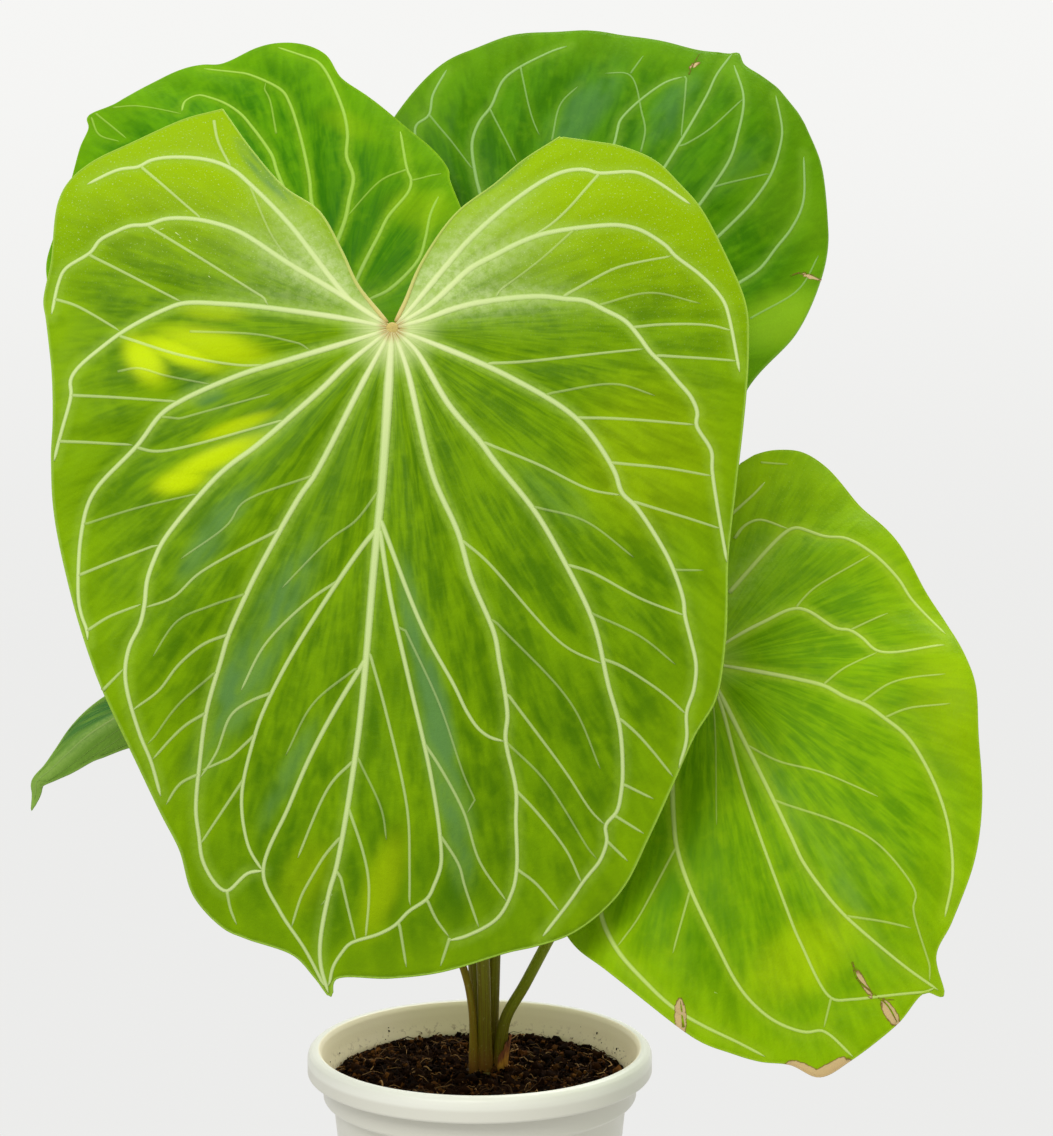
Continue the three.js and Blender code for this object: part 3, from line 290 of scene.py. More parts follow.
SMALL_LEAF = {
    "name": "small", "slot": "leaf_young_green", "grid": (140, 40), "relief": 0.1, "vein_scale": 0.32,
    "midrib_line": 0, "half_width": 20, "base_radius": 3.2, "arch": 0, "lobes": 0, "ridge": 0, "cup": 0,
    "roll": 25, "stalk_radius": 1.6, "stalk_end": 2.2, "wave": (0.4, 6, 0.3), "glow": 0.35, "lift": 0,
    "ripe": 1,
    "midrib": [(-135.2, 18, 286.8), (-148.1, 16, 281.4), (-161, 14, 275.2), (-171.2, 12, 268.5),
     (-179.7, 10, 260.9), (-186.6, 9, 254.5), (-192, 8, 249.8), (-192.7, 8, 244.1), (-194.7, 7, 236.8)],
    "faces": [(0, -0.8, 0.6), (-0.15, -0.9, 0.45)],
    "stalk": [(-2.6, 0.2, 123.3), (-3.6, 1.6, 152), (-7.4, 3, 169), (-24, 8, 205), (-60, 17, 250),
     (-104, 26, 282), (-125.6, 29, 294)],
    "paint": ("4c7c20", "74a038", "8cb048", "a0c060", "94b45c", "a8c070", "407838", "a6c060", "b0a04a",
     "98bc60", "b8d850"),
    "Cool": [(-7, 26, 26, 8, 90, 0.9), (-2, 40, 18, 5, 90, 0.6)],
    "sectors": [([-3.5-4j, -7-7j, -10-6j], [-14.5+1j]), ([-6+3j, -12+7j, -16.5+12j], [-17.5+20j]), ([-5+9j,
     -11+19j, -16.5+30j], [-14.5+38j]), ([-3+14j, -7+30j, -11.5+46j], [-7.5+56j, -4.6+64j, -3+71j, -1.6+77j]),
     ([0+18j, 0+40j, 0+62j, 0+82j], [1.6+77j, 3+71j, 4.6+64j, 7.5+56j]), ([3+14j, 6.5+30j, 10+46j], [12+39j]),
     ([5+9j, 10+19j, 13.5+30j], [14.5+21j]), ([6+3j, 10.5+7j, 13.5+12j], [13+1j]), ([3.5-4j, 7-7j,
     10-6j], [])],
    "veins": {
     "main": [[0+1j, 0+40j, 0+78j]],
     "thin": [[-2+6j, -5+24j, -6+44j, -3+66j], [2+6j, 5+24j, 5.5+44j, 3+66j], [-4+6j, -9+22j, -10+40j,
      -7+54j], [4+6j, 8+22j, 9+38j, 7+52j], [-5+4j, -13+17j, -14+32j, -11+45j], [5+4j, 11+17j, 12+30j,
      10+42j]],
    },
}
LEAF_TABLES = (FRONT_LEAF, BACK_LEFT_LEAF, BACK_RIGHT_LEAF, LOWER_RIGHT_LEAF, SMALL_LEAF)

# Widths of a vein at its start and end in millimetres, how pale it is, its spacing of rings, and
# how dry and brown it is
VEIN_RANKS = {
    "midrib": (5.4, 2.0, 1.0, 1.6, 0),
    "main": (3.5, 1.8, 1.0, 1.6, 0),
    "branch": (2.7, 1.7, 0.9, 1.6, 0),
    "link": (1.8, 1.35, 0.6, 1.8, 0),
    "thin": (1.5, 1.1, 0.34, 2.0, 0),
    "fleck": (0.7, 0.7, 1.0, 0.3, 0),
    "scar": (1.2, 0.7, 0.0, 1.0, 0.42),
}
VEIN_SECTION = np.array([-1, -0.7, -0.36, 0, 0.36, 0.7, 1])
MARGIN_BEAD = 0.42
NOTCH_BEAD = 1.2
STALK_SIDES = 24
POT_SIDES = 32 * DRAIN_HOLES


def flat_points(line):
    """Rows of u and v for points written as u+vj."""
    return np.stack([np.real(line), np.imag(line)], -1)


def smooth_curve(points, t):
    """Points on a smooth curve through the given ones; t counts from point to point.

    Each stretch is a cubic whose end slopes come from its neighbours, spaced by the square root of
    their distances. Both ends are led on in a straight line.
    """
    points = np.asarray(points, float)
    led = np.vstack([2 * points[0] - points[1], points, 2 * points[-1] - points[-2]])
    k = np.clip(np.floor(t).astype(int), 0, len(points) - 2)
    w = (t - k)[:, None]
    a, b, c, d = (led[k + i] for i in range(4))
    ab, bc, cd = (np.sqrt(np.linalg.norm(q - p, axis=1))[:, None] for p, q in ((a, b), (b, c), (c, d)))
    slope_b = ((b - a) / ab - (c - a) / (ab + bc) + (c - b) / bc) * bc
    slope_c = ((c - b) / bc - (d - b) / (bc + cd) + (d - c) / cd) * bc
    bend = 3 * (c - b) - 2 * slope_b - slope_c
    return b + w * (slope_b + w * (bend + w * (2 * (b - c) + slope_b + slope_c)))


def fine_curve(points, density):
    """The smooth curve in short steps: t, the point and the distance run at each."""
    t = np.linspace(0, len(points) - 1, density * len(points))
    line = smooth_curve(points, t)
    return t, line, np.r_[0, np.cumsum(np.linalg.norm(np.diff(line, axis=0), axis=1))]


def curve_length(points):
    return fine_curve(points, 40)[2][-1]


def spaced_points(points, count):
    """count + 1 points at even distances along the smooth curve through the given points."""
    t, line, reach = fine_curve(points, 80)
    return smooth_curve(points, np.interp(np.linspace(0, reach[-1], count + 1), reach, t))


def smooth_step(value, low, high):
    share = np.clip((value - low) / (high - low), 0, 1)
    return share * share * (3 - 2 * share)


def unit(vectors):
    return vectors / np.maximum(np.linalg.norm(vectors, axis=-1, keepdims=True), 1e-9)


def nearest_distance(points, lines):
    """Distance from each flat point to the nearest of some lines, each an array of flat points."""
    starts = np.vstack([line[:-1] for line in lines])
    steps = np.vstack([np.diff(line, axis=0) for line in lines])
    squares = np.maximum((steps ** 2).sum(1), 1e-9)
    least = []
    for some in np.array_split(points, len(points) // 4000 + 1):
        gap = some[:, None] - starts
        along = np.clip((gap * steps).sum(2) / squares, 0, 1)
        gap -= along[..., None] * steps
        least.append(np.sqrt((gap ** 2).sum(2).min(1)))
    return np.concatenate(least)


def point_tree(lines):
    points = np.vstack(lines)
    tree = KDTree(len(points))
    for i, (u, v) in enumerate(points):
        tree.insert((u, v, 0), i)
    tree.balance()
    return tree


def tree_distance(tree, flat):
    return np.array([tree.find((u, v, 0))[2] for u, v in flat])


def led_in(line):
    """A vein that starts near the base, led back to the middle of the base."""
    reach = math.hypot(*line[0])
    return [line[0] / reach * 1.5, *line] if 3 < reach < 27 else line


class Leaf:
    """One leaf: its flat layout, its surface in space, and the numbers that its colours follow."""

    def __init__(self, table):
        vars(self).update(table)
        self.t, line, self.reach = fine_curve(self.midrib, 80)
        self.length = self.reach[-1]
        self.slopes = unit(np.gradient(line, axis=0))
        self.mains = [flat_points(vein) for vein, margin in self.sectors]
        self.ends = [flat_points([vein[-1], *margin]) for vein, margin in self.sectors]
        self.rails = [self.rail(vein, 40) for vein in self.mains]
        self.notches = [self.rail(self.mains[i], 60) for i in (0, -1)]
        outline = np.vstack(self.ends)
        self.margin = spaced_points(outline, round(curve_length(outline)))
        self.lines = {}
        for rank, lines in self.veins.items():
            lines = [led_in(flat_points(line)) for line in lines]
            self.lines[rank] = [spaced_points(line, max(3, round(2 * curve_length(line)))) for line in lines]
        self.join_ends()
        every = [line for rank in ("main", "branch", "link") for line in self.lines.get(rank, ())]
        self.trees = {
            "Vein Distance": point_tree(every),
            "Main Distance": point_tree(self.lines["main"]),
            "Margin Distance": point_tree([self.margin, *self.notches]),
        }

    def rail(self, vein, rows):
        """A main vein as evenly spaced flat points, from the base arc out to the margin."""
        return spaced_points([vein[0] / np.linalg.norm(vein[0]) * self.base_radius, *vein], rows)

    def join_ends(self):
        """Leads the loose ends of the smaller veins on to the nearest bigger vein, where one is near."""
        bigger = list(self.lines["main"])
        for rank in ("main", "branch", "link", "thin"):
            joined = []
            for line in self.lines.get(rank, ()):
                others = np.vstack([other for other in bigger if other is not line] or [(np.inf, np.inf)])
                for end, inner in ((0, 6), (-1, -7)):
                    ways = others - line[end]
                    gaps = np.linalg.norm(ways, axis=1)
                    reach = 7 if rank != "main" else 4 if end == -1 else 0
                    if not 0.4 < gaps.min() < reach:
                        continue
                    ahead = ways @ unit(line[end] - line[inner])
                    aim = np.argmin(gaps * (1.5 - ahead / gaps))
                    if ahead[aim] < 0.25 * gaps[aim]:
                        continue
                    steps = np.linspace(0, 1, max(2, round(2 * gaps[aim])) + 1)[1:, None]
                    lead = line[end] + steps * ways[aim]
                    line = np.vstack([line, lead]) if end else np.vstack([lead[::-1], line])
                joined.append(line)
            if joined:
                self.lines[rank] = joined
            if rank != "main":
                bigger += joined

    def fan(self, across, rows):
        """The flat layout as a grid, columns by rows.

        Between two veins a column blends from one vein to the next; it also bulges towards the
        margin's own line by the cube of its way out.
        """
        rails = [self.rail(vein, rows) for vein in self.mains]
        way = (np.arange(rows + 1) / rows) ** 3
        outline = np.vstack(self.ends)
        firsts = np.cumsum([0, *map(len, self.ends)])
        spans = list(zip(firsts, firsts[1:-1]))
        widths = [np.linalg.norm(np.diff(outline[a:b + 1], axis=0), axis=1).sum() for a, b in spans]
        columns = []
        for width, (first, last), low, high in zip(widths, spans, rails, rails[1:]):
            steps = max(4, round(across * width / sum(widths)))
            share = np.arange(steps) / steps
            ends = smooth_curve(outline, first + share * (last - first))
            straight = low[-1] + share[:, None] * (high[-1] - low[-1])
            blend = low + share[:, None, None] * (high - low)
            columns.append(blend + (ends - straight)[:, None, :] * way[:, None])
        return np.vstack([*columns, rails[-1][None]])

    def height(self, flat):
        """Bowed midrib, raised middle, dropped sides, rippled margin, and skin puffed between veins."""
        u, v = flat.T
        half = self.half_width
        along = v / self.length
        bow = 4 * self.arch * along - np.where(along > 0, 4 * self.arch, self.lobes) * along ** 2
        middle = self.ridge * (np.hypot(u, 10) - 10) / half - self.cup * (u / half) ** 2
        size, count, phase = self.wave
        out = np.minimum(np.hypot(u, v) / half, 1.3)
        ripple = size * out ** 3 * np.sin(count * np.arctan2(u, v) + phase)
        puff = 1 - np.exp(-(nearest_distance(flat, self.rails) / PUFF_REACH) ** 2)
        return bow + middle + ripple + PUFF_HEIGHT * min(half / 100, 1) * puff

    def carry(self, flat, height):
        """Flat points and their heights to points in space.

        They ride along the midrib. Both halves are rolled back round it: up to the roll's angle the
        skin follows a circle, then it goes on straight.
        """
        u, v = flat.T
        share = np.clip(v / self.length, 0, 1)
        t = np.interp(share * self.length, self.reach, self.t)
        tangent = unit(np.stack([np.interp(t, self.t, slope) for slope in self.slopes.T], 1))
        origin = smooth_curve(self.midrib, t) + tangent * (v - share * self.length)[:, None]
        base, tip = np.array(self.faces, float)
        normal = base + share[:, None] * (tip - base)
        normal = unit(normal - tangent * (normal * tangent).sum(1, keepdims=True))
        angle = np.minimum(np.abs(u) / ROLL_RADIUS, math.radians(self.roll))
        straight = np.abs(u) - ROLL_RADIUS * angle
        sideways = np.sign(u) * (ROLL_RADIUS * np.sin(angle) + straight * np.cos(angle))
        drop = ROLL_RADIUS * (1 - np.cos(angle)) + straight * np.sin(angle)
        return origin + np.cross(normal, tangent) * sideways[:, None] + normal * (height - drop)[:, None]

    def surface(self, flat):
        """Points of the smooth middle surface over flat points."""
        return self.carry(flat, self.height(flat))

    def skin(self, flat):
        """The middle surface over flat points, with the skin bulging between its small veins."""
        to_vein, to_main, to_margin = (tree_distance(tree, flat) for tree in self.trees.values())
        bulge = self.relief * (1 - np.exp(-(to_vein / 6) ** 2)) * smooth_step(to_margin, 0, 9)
        return self.carry(flat, self.height(flat) + bulge)

    def normals(self, flat, step=0.8):
        """Outward directions of the upper side over flat points, from four points round each."""
        along, across = (self.surface(flat + way) - self.surface(flat - way)
                         for way in np.array([(0, step), (step, 0)]))
        return unit(np.cross(along, across))

    def values(self, flat, vein=0.0, upper=1.0):
        """What the colours follow at flat points: distances in millimetres, masks, and two layouts."""
        u, v = flat.T
        reach = np.hypot(u, v)
        found = {name: tree_distance(tree, flat) for name, tree in self.trees.items()}
        found |= {
            "Base Distance": reach, "Vein Mask": vein + 0 * u, "Upper": upper + 0 * u, "flat": flat / 100,
            "fan": np.stack([np.arctan2(u, v) / math.pi, reach / 100], 1),
        }
        for kind in ("Shade", "Cool", "Lit", "Dry"):
            amount = np.zeros(len(flat))
            for mu, mv, length, width, turn, strength in getattr(self, kind, ()):
                aside = (u - mu + 1j * (v - mv)) * np.exp(-1j * math.radians(turn))
                square = (aside.real / length) ** 2 + (aside.imag / width) ** 2
                amount = np.maximum(amount, strength * np.exp(-square ** 2))
            found[kind] = amount
        return found


def ring_faces(count, sides, closed=True):
    """Corner numbers of the quads between rings of points, each ring closed or left open."""
    k, j = np.meshgrid(np.arange(count - 1), np.arange(sides if closed else sides - 1), indexing="ij")
    a = k * sides + j
    b = k * sides + (j + 1) % sides
    return np.stack([a, b, b + sides, a + sides], -1).reshape(-1, 4)


def grid_faces(wide, high):
    """Corner numbers of the quads of a grid whose points are stored column after column."""
    return np.roll(ring_faces(wide, high, False)[:, ::-1], 1, 1)


def around(sides):
    return np.arange(sides) / sides * 2 * math.pi


def circle(radius, angle, z):
    """Points at a radius, an angle and a height round the Z axis."""
    return np.stack(np.broadcast_arrays(radius * np.cos(angle), radius * np.sin(angle), z), -1)


def tube_parts(rings):
    """Points and faces of a closed tube through rings of points, with a fan over each end."""
    count, sides = rings.shape[:2]
    points = np.vstack([rings.reshape(-1, 3), rings[0].mean(0), rings[-1].mean(0)])
    j = np.arange(sides)
    ahead = (j + 1) % sides
    top = (count - 1) * sides
    low = np.stack([np.full(sides, count * sides), ahead, j], 1)
    high = np.stack([np.full(sides, count * sides + 1), top + j, top + ahead], 1)
    return points, [ring_faces(count, sides), low, high]


def round_tube(line, radii, sides):
    """A closed round tube along a line, with a radius at each of its points and no twist."""
    tangents = unit(np.gradient(line, axis=0))
    side = np.cross(tangents[0], (0.0, 0.0, 1.0))
    if np.linalg.norm(side) < 0.1:
        side = np.cross(tangents[0], (0.0, 1.0, 0.0))
    right = []
    for tangent in tangents:
        side = unit(side - tangent * (side @ tangent))
        right.append(side)
    right = np.array(right)[:, None]
    up = np.cross(tangents[:, None], right)
    angle = around(sides)[:, None]
    return tube_parts(line[:, None] + radii[:, None, None] * (right * np.cos(angle) + up * np.sin(angle)))


class Parts:
    """Gathers tubes and patches into one mesh, with the values of their points."""

    def __init__(self, points=None, faces=(), values=None):
        self.points = []
        self.faces = {3: [], 4: []}
        self.values = {}
        self.total = 0
        if points is not None:
            self.add(points, faces, values)

    def add(self, points, faces, values=None):
        for group in faces:
            self.faces[group.shape[1]].append(group + self.total)
        for key, value in (values or {}).items():
            value = np.broadcast_to(value, np.shape(value) or len(points))
            self.values.setdefault(key, []).append(value)
        self.points.append(points)
        self.total += len(points)

    def weld(self):
        """Makes one point of all points in the same place, which only suits parts without values."""
        places, number = np.unique(np.round(np.vstack(self.points), 4), axis=0, return_inverse=True)
        self.points = [places]
        for groups in self.faces.values():
            groups[:] = [number.reshape(-1)[group] for group in groups]

    def mesh(self, name, material):
        """A smooth mesh from points in millimetres; values of two columns become a UV layout."""
        mesh = bpy.data.meshes.new(name)
        groups = [group for groups in self.faces.values() for group in groups]
        sizes = np.concatenate([np.full(len(group), group.shape[1]) for group in groups])
        corners = np.concatenate([group.ravel() for group in groups]).astype(np.int32)
        points = np.vstack(self.points)
        mesh.vertices.add(len(points))
        mesh.vertices.foreach_set("co", (points * METRE).astype(np.float32).ravel())
        mesh.loops.add(len(corners))
        mesh.loops.foreach_set("vertex_index", corners)
        mesh.polygons.add(len(sizes))
        mesh.polygons.foreach_set("loop_start", np.r_[0, np.cumsum(sizes)[:-1]].astype(np.int32))
        mesh.polygons.foreach_set("use_smooth", np.ones(len(sizes), bool))
        mesh.update(calc_edges=True)
        mesh.validate()
        for key, values in self.values.items():
            data = np.concatenate(values).astype(np.float32)
            if data.ndim == 2:
                mesh.uv_layers.new(name=key).data.foreach_set("uv", data[corners].ravel())
            else:
                mesh.attributes.new(key, "FLOAT", "POINT").data.foreach_set("value", data)
        mesh.materials.append(material)
        piece = bpy.data.objects.new(name, mesh)
        bpy.context.scene.collection.objects.link(piece)
        return piece

    def piece(self, name, material, slot, node):
        """The mesh as a piece that rides on the part and stands for a CAD node."""
        piece = self.mesh(name, material)
        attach(piece, "root")
        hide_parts(node)


def make_blade(leaf, material):
    """The blade: an upper and a lower face the same way apart, joined by a rounded rim."""
    layout = leaf.fan(*(round(n * DETAIL) for n in leaf.grid))
    wide, high = layout.shape[:2]
    flat = layout.reshape(-1, 2)
    size = len(flat)
    middle = leaf.skin(flat)
    values = leaf.values(flat)
    lattice = middle.reshape(wide, high, 3)
    out = unit(np.cross(np.gradient(lattice, axis=1), np.gradient(lattice, axis=0))).reshape(-1, 3)
    out *= BLADE_THICKNESS / 4 * (1 + smooth_step(values["Margin Distance"], 0, 3))[:, None]
    index = np.arange(size).reshape(wide, high)
    loop = np.r_[index[:, -1], index[-1, -2::-1], index[-2::-1, 0], index[0, 1:-1]]
    inner = np.r_[index[:, -2], index[-2, -2::-1], index[-2::-1, 1], index[1, 1:-1]]
    edge = middle[loop] + 0.25 * unit(middle[loop] - middle[inner])
    ahead = np.roll(loop, -1)
    rim = 2 * size + np.arange(len(loop))
    rim_ahead = np.roll(rim, -1)
    faces = [
        grid_faces(wide, high)[:, ::-1],
        grid_faces(wide, high) + size,
        np.stack([loop, rim, rim_ahead, ahead], 1),
        np.stack([rim, loop + size, ahead + size, rim_ahead], 1),
    ]
    take = np.r_[:size, :size, loop]
    values = {key: value[take] for key, value in values.items()}
    values["Upper"] = np.repeat([1, 0, 0.5], [size, size, len(loop)])
    parts = Parts(np.vstack([middle + out, middle - out, edge]), faces, values)
    parts.piece(f"leaf_{leaf.name}", material, leaf.slot, f"blade_{leaf.name}")


def make_veins(leaf, material):
    """The veins: low rounded cords sunk in both faces of the blade, paler along their middle."""
    parts = Parts()
    half = BLADE_THICKNESS / 2
    ranked = [(rank, i, line) for rank, lines in leaf.lines.items() for i, line in enumerate(lines)]
    for rank, number, line in ranked:
        midrib = rank == "main" and number == leaf.midrib_line
        start, end, paleness, spacing, dry = VEIN_RANKS["midrib" if midrib else rank]
        count = max(4, round(len(line) / 2 / spacing * DETAIL))
        centre = spaced_points(line[::4] if len(line) > 16 else line, count)
        share = np.linspace(0, 1, count + 1)
        width = (start + (end - start) * share ** 0.8) * np.minimum(1, 0.4 + np.hypot(*centre.T) / 40)
        width *= np.minimum(1, 0.3 + (1 - share) * len(line) / 8) * (1 if dry else leaf.vein_scale)
        width = width[:, None]
        way = unit(np.gradient(centre, axis=0))
        across = np.stack([-way[:, 1], way[:, 0]], 1)[:, None]
        out = leaf.normals(centre)[:, None]
        bottom = leaf.surface(centre)[:, None]
        for side, steepness in ((1, 0.08), (-1, 0.25)):
            section = VEIN_SECTION[::1 if side > 0 else 2]
            flat = centre[:, None] + across * (section * width / 2)[..., None]
            lift = half + (steepness * width + 0.12) * (1 - section ** 2) - 0.1 * section ** 2
            top = leaf.skin(flat.reshape(-1, 2)).reshape(count + 1, -1, 3) + side * out * lift[..., None]
            rings = np.concatenate([top, bottom + side * (half - 0.3) * out], 1)
            tube, faces = tube_parts(rings[:, ::side])
            pale = np.r_[paleness * (1 - smooth_step(np.abs(section), 0.35, 1)), 0][::side]
            spots = np.concatenate([flat, centre[:, None]], 1)[:, ::side].reshape(-1, 2)
            tint = np.r_[np.tile(pale, count + 1), pale.max(), pale.max()]
            values = leaf.values(np.vstack([spots, centre[0], centre[-1]]), tint, 0.5 + side / 2)
            if dry:
                values["Dry"] = dry
            parts.add(tube, faces, values)
    parts.piece(f"veins_{leaf.name}", material, leaf.slot, f"blade_{leaf.name}")


def make_rim(leaf, material):
    """A fine bead round the margin, thicker and tan along the bare edges of the notch."""
    parts = Parts()
    for line, thick in ((leaf.margin, MARGIN_BEAD), *((notch, NOTCH_BEAD) for notch in leaf.notches)):
        bare = thick == NOTCH_BEAD
        centre = spaced_points(line[::2], 60 if bare else round(len(line) / 1.5 * DETAIL))
        base = np.hypot(*centre.T)
        radii = MARGIN_BEAD + (thick - MARGIN_BEAD) * np.exp(-base / 35) * np.minimum(1, 0.3 + base / 12)
        tube, faces = round_tube(leaf.surface(centre), radii * leaf.vein_scale, 8)
        spots = np.vstack([np.repeat(centre, 8, 0), centre[0], centre[-1]])
        base = np.hypot(*spots.T)
        values = leaf.values(spots, bare * 0.7 * np.exp(-base / 70))
        values["Tan"] = bare * 0.8 * np.exp(-base / 30)
        parts.add(tube, faces, values)
    parts.piece(f"rim_{leaf.name}", material, leaf.slot, f"blade_{leaf.name}")


def make_stalk(leaf, material):
    """A leaf stalk: thicker at its foot, with a swollen knee that ends square in the blade's base."""
    knee = leaf.carry(np.zeros((3, 2)), np.array([-11, -5, 0.6]))
    rings = round(150 * DETAIL)
    line = spaced_points([*leaf.stalk, *knee], rings)
    length = curve_length(line)
    share = np.linspace(0, 1, rings + 1)
    slim = leaf.stalk_radius * (1.08 - 0.2 * share)
    radii = slim + (leaf.stalk_end - slim) * np.exp(-((1 - share) * length / KNEE_LENGTH) ** 2)
    radii *= 1 + 0.35 * np.exp(-(share * length / 12) ** 2)
    cap = np.sin(np.linspace(0.25, 1, 5) * math.pi / 2)
    cap_line = line[-1] + 0.6 * cap[:, None] * unit(line[-1] - line[-2])
    radii = np.r_[radii[0], radii, radii[-1] * np.sqrt(np.maximum(1 - cap ** 2, 0.0025))]
    line = np.vstack([line[0] - (0, 0, 2), line, cap_line])
    way = np.r_[np.repeat(np.r_[0, share, np.ones(len(cap))], STALK_SIDES), 0, 1]
    turn = np.r_[np.tile(np.arange(STALK_SIDES) / STALK_SIDES, len(line)), 0, 0]
    values = {"way": way, "from_end": (1 - way) * length, "turn": turn, "ripe": leaf.ripe}
    parts = Parts(*round_tube(line, radii, STALK_SIDES), values)
    parts.piece(f"leafstalk_{leaf.name}", material, "stalk_skin", f"stalk_{leaf.name}")


def make_sheath(leaf, material):
    """The dry sheath at the foot of one stalk: an open papery collar with a torn, wrinkled top."""
    columns, rows = 60, 22
    share = np.linspace(0, 1, columns + 1)[:, None]
    rise = np.linspace(0, 1, rows + 1)
    torn = 0.06 * np.sin(31 * share) + 0.05 * np.sin(57 * share + 1)
    height = SHEATH_HEIGHT * (0.45 + 0.55 * np.sin(math.pi * share)) * (1 + torn) * rise
    wrinkle = 0.22 * np.sin(26 * share + 3 * rise) * rise + 0.5 * rise ** 3
    inner = leaf.stalk_radius * 1.08 + 0.6 + wrinkle
    lean = leaf.stalk[0] + height[..., None] * (0.1, 0.06, 1.1)
    inside, outside = (circle(inner + thick, np.radians(-100 + 165 * share), -1.5) + lean
                       for thick in (0, SHEATH_THICKNESS))
    tube, faces = tube_parts(np.concatenate([inside, outside[:, ::-1]], 1))
    parts = Parts(tube, faces, {
        "way": np.r_[np.tile(np.r_[rise, rise[::-1]], columns + 1), 0.5, 0.5],
        "turn": np.r_[np.repeat(share.ravel(), 2 * rows + 2), 0, 1],
    })
    parts.piece("papery_sheath", material, "dry_sheath", "dry_sheath")


def turned_surface(profile, sides):
    """Points and quads of a profile of [radius, height] pairs turned about the Z axis."""
    radius, z = np.asarray(profile, float).T[..., None]
    return circle(radius, around(sides), z).reshape(-1, 3), ring_faces(len(profile), sides)


def rounded(profile, radius):
    """A profile whose corners are replaced by short arcs, each cut back at most a third of a side."""
    profile = np.asarray(profile, float)
    points = [profile[0]]
    for before, corner, after in zip(profile, profile[1:], profile[2:]):
        cut = min(radius, np.linalg.norm(before - corner) / 3, np.linalg.norm(after - corner) / 3)
        a, b = (corner + unit(end - corner) * cut for end in (before, after))
        for share in (0, 0.25, 0.5, 0.75, 1):
            points.append((1 - share) ** 2 * a + 2 * share * (1 - share) * corner + share ** 2 * b)
    return np.array([*points, profile[-1]])


def drained_floor(parts, outer_edge):
    """The pot's floor with its drain holes left open: six fields round the middle on each face.

    Each field is drawn between the rim of its hole and the field's own outline, and the two faces
    are joined by the holes' walls.
    """
    inner_edge = DRAIN_RING_RADIUS - 8
    field = math.pi / DRAIN_HOLES
    steps = 8
    a = np.linspace(-field, field, 4 * steps + 1)
    out = np.linspace(inner_edge, outer_edge, steps + 1)
    radius = np.r_[np.full(4 * steps, outer_edge), out[:0:-1], np.full(4 * steps, inner_edge), out[:-1]]
    angle = np.r_[a[:-1], np.full(steps, field), a[:0:-1], np.full(steps, -field)]
    outer = circle(radius, angle, 0)
    hole = (DRAIN_RING_RADIUS, 0, 0)
    inner = hole + unit(outer - hole) * DRAIN_RADIUS
    rings = [inner + share * (outer - inner) for share in (0, 0.25, 0.6, 1)]
    rings = np.vstack([inner + (0, 0, FLOOR), *rings])
    count = len(outer)
    below = ring_faces(5, count)
    above = below[count:, ::-1] - count
    for turn in around(DRAIN_HOLES) + field:
        c, s = math.cos(turn), math.sin(turn)
        placed = rings @ [[c, s, 0], [-s, c, 0], [0, 0, 1]]
        parts.add(placed, [below])
        parts.add(placed[count:] + (0, 0, FLOOR), [above])
    j = np.arange(POT_SIDES)
    fan = np.stack([0 * j, 1 + (j + 1) % POT_SIDES, 1 + j], 1)
    disc = np.vstack([np.zeros(3), circle(inner_edge, around(POT_SIDES), 0)])
    parts.add(disc, [fan])
    parts.add(disc + (0, 0, FLOOR), [fan[:, ::-1]])


COLLAR_TOP = POT_HEIGHT - RIM_DEPTH
SHOULDER_Z = COLLAR_TOP - COLLAR_DEPTH
SOIL_RADIUS = COLLAR_RADIUS - WALL - 1
INNER_WALL = [
    (BASE_RADIUS - WALL + 0.4, FLOOR), (SHOULDER_RADIUS - WALL, SHOULDER_Z - 2),
    (SOIL_RADIUS - 0.6, SHOULDER_Z + 1), (SOIL_RADIUS, SOIL_LEVEL),
    (OPENING_RADIUS - 1.9, COLLAR_TOP + 2), (OPENING_RADIUS, POT_HEIGHT - 2),
]


def make_pot(material):
    """The pot: a thin tapering wall, a collar, a rim turned out and down, and a drained floor."""
    skirt = RIM_RADIUS - 1.7
    floor_edge = BASE_RADIUS - 6
    outside = [
        (floor_edge, 0), (BASE_RADIUS - 1.6, 0), (BASE_RADIUS, 1.8), (SHOULDER_RADIUS, SHOULDER_Z - 1.6),
        (COLLAR_RADIUS - 2.6, SHOULDER_Z - 0.6), (COLLAR_RADIUS - 0.5, SHOULDER_Z),
        (COLLAR_RADIUS, SHOULDER_Z + 0.9), (COLLAR_RADIUS + 0.5, COLLAR_TOP),
        (OPENING_RADIUS + 1.5, POT_HEIGHT - 4), (skirt - 0.6, POT_HEIGHT - 4), (skirt, COLLAR_TOP),
        (RIM_RADIUS - 0.5, COLLAR_TOP), (RIM_RADIUS, COLLAR_TOP + 0.8), (RIM_RADIUS, POT_HEIGHT - 3.6),
        (RIM_RADIUS - 0.6, POT_HEIGHT - 1.6), (RIM_RADIUS - 2, POT_HEIGHT - 0.4),
        (RIM_RADIUS - 3.4, POT_HEIGHT), (OPENING_RADIUS + 1.2, POT_HEIGHT - 0.3),
    ]
    profile = rounded([*outside, *INNER_WALL[::-1], (floor_edge, FLOOR)], 1.2)
    points, quads = turned_surface(profile, POT_SIDES)
    parts = Parts(points, [quads])
    drained_floor(parts, floor_edge)
    parts.weld()
    parts.piece("nursery_pot", material, "white_plastic", "pot")


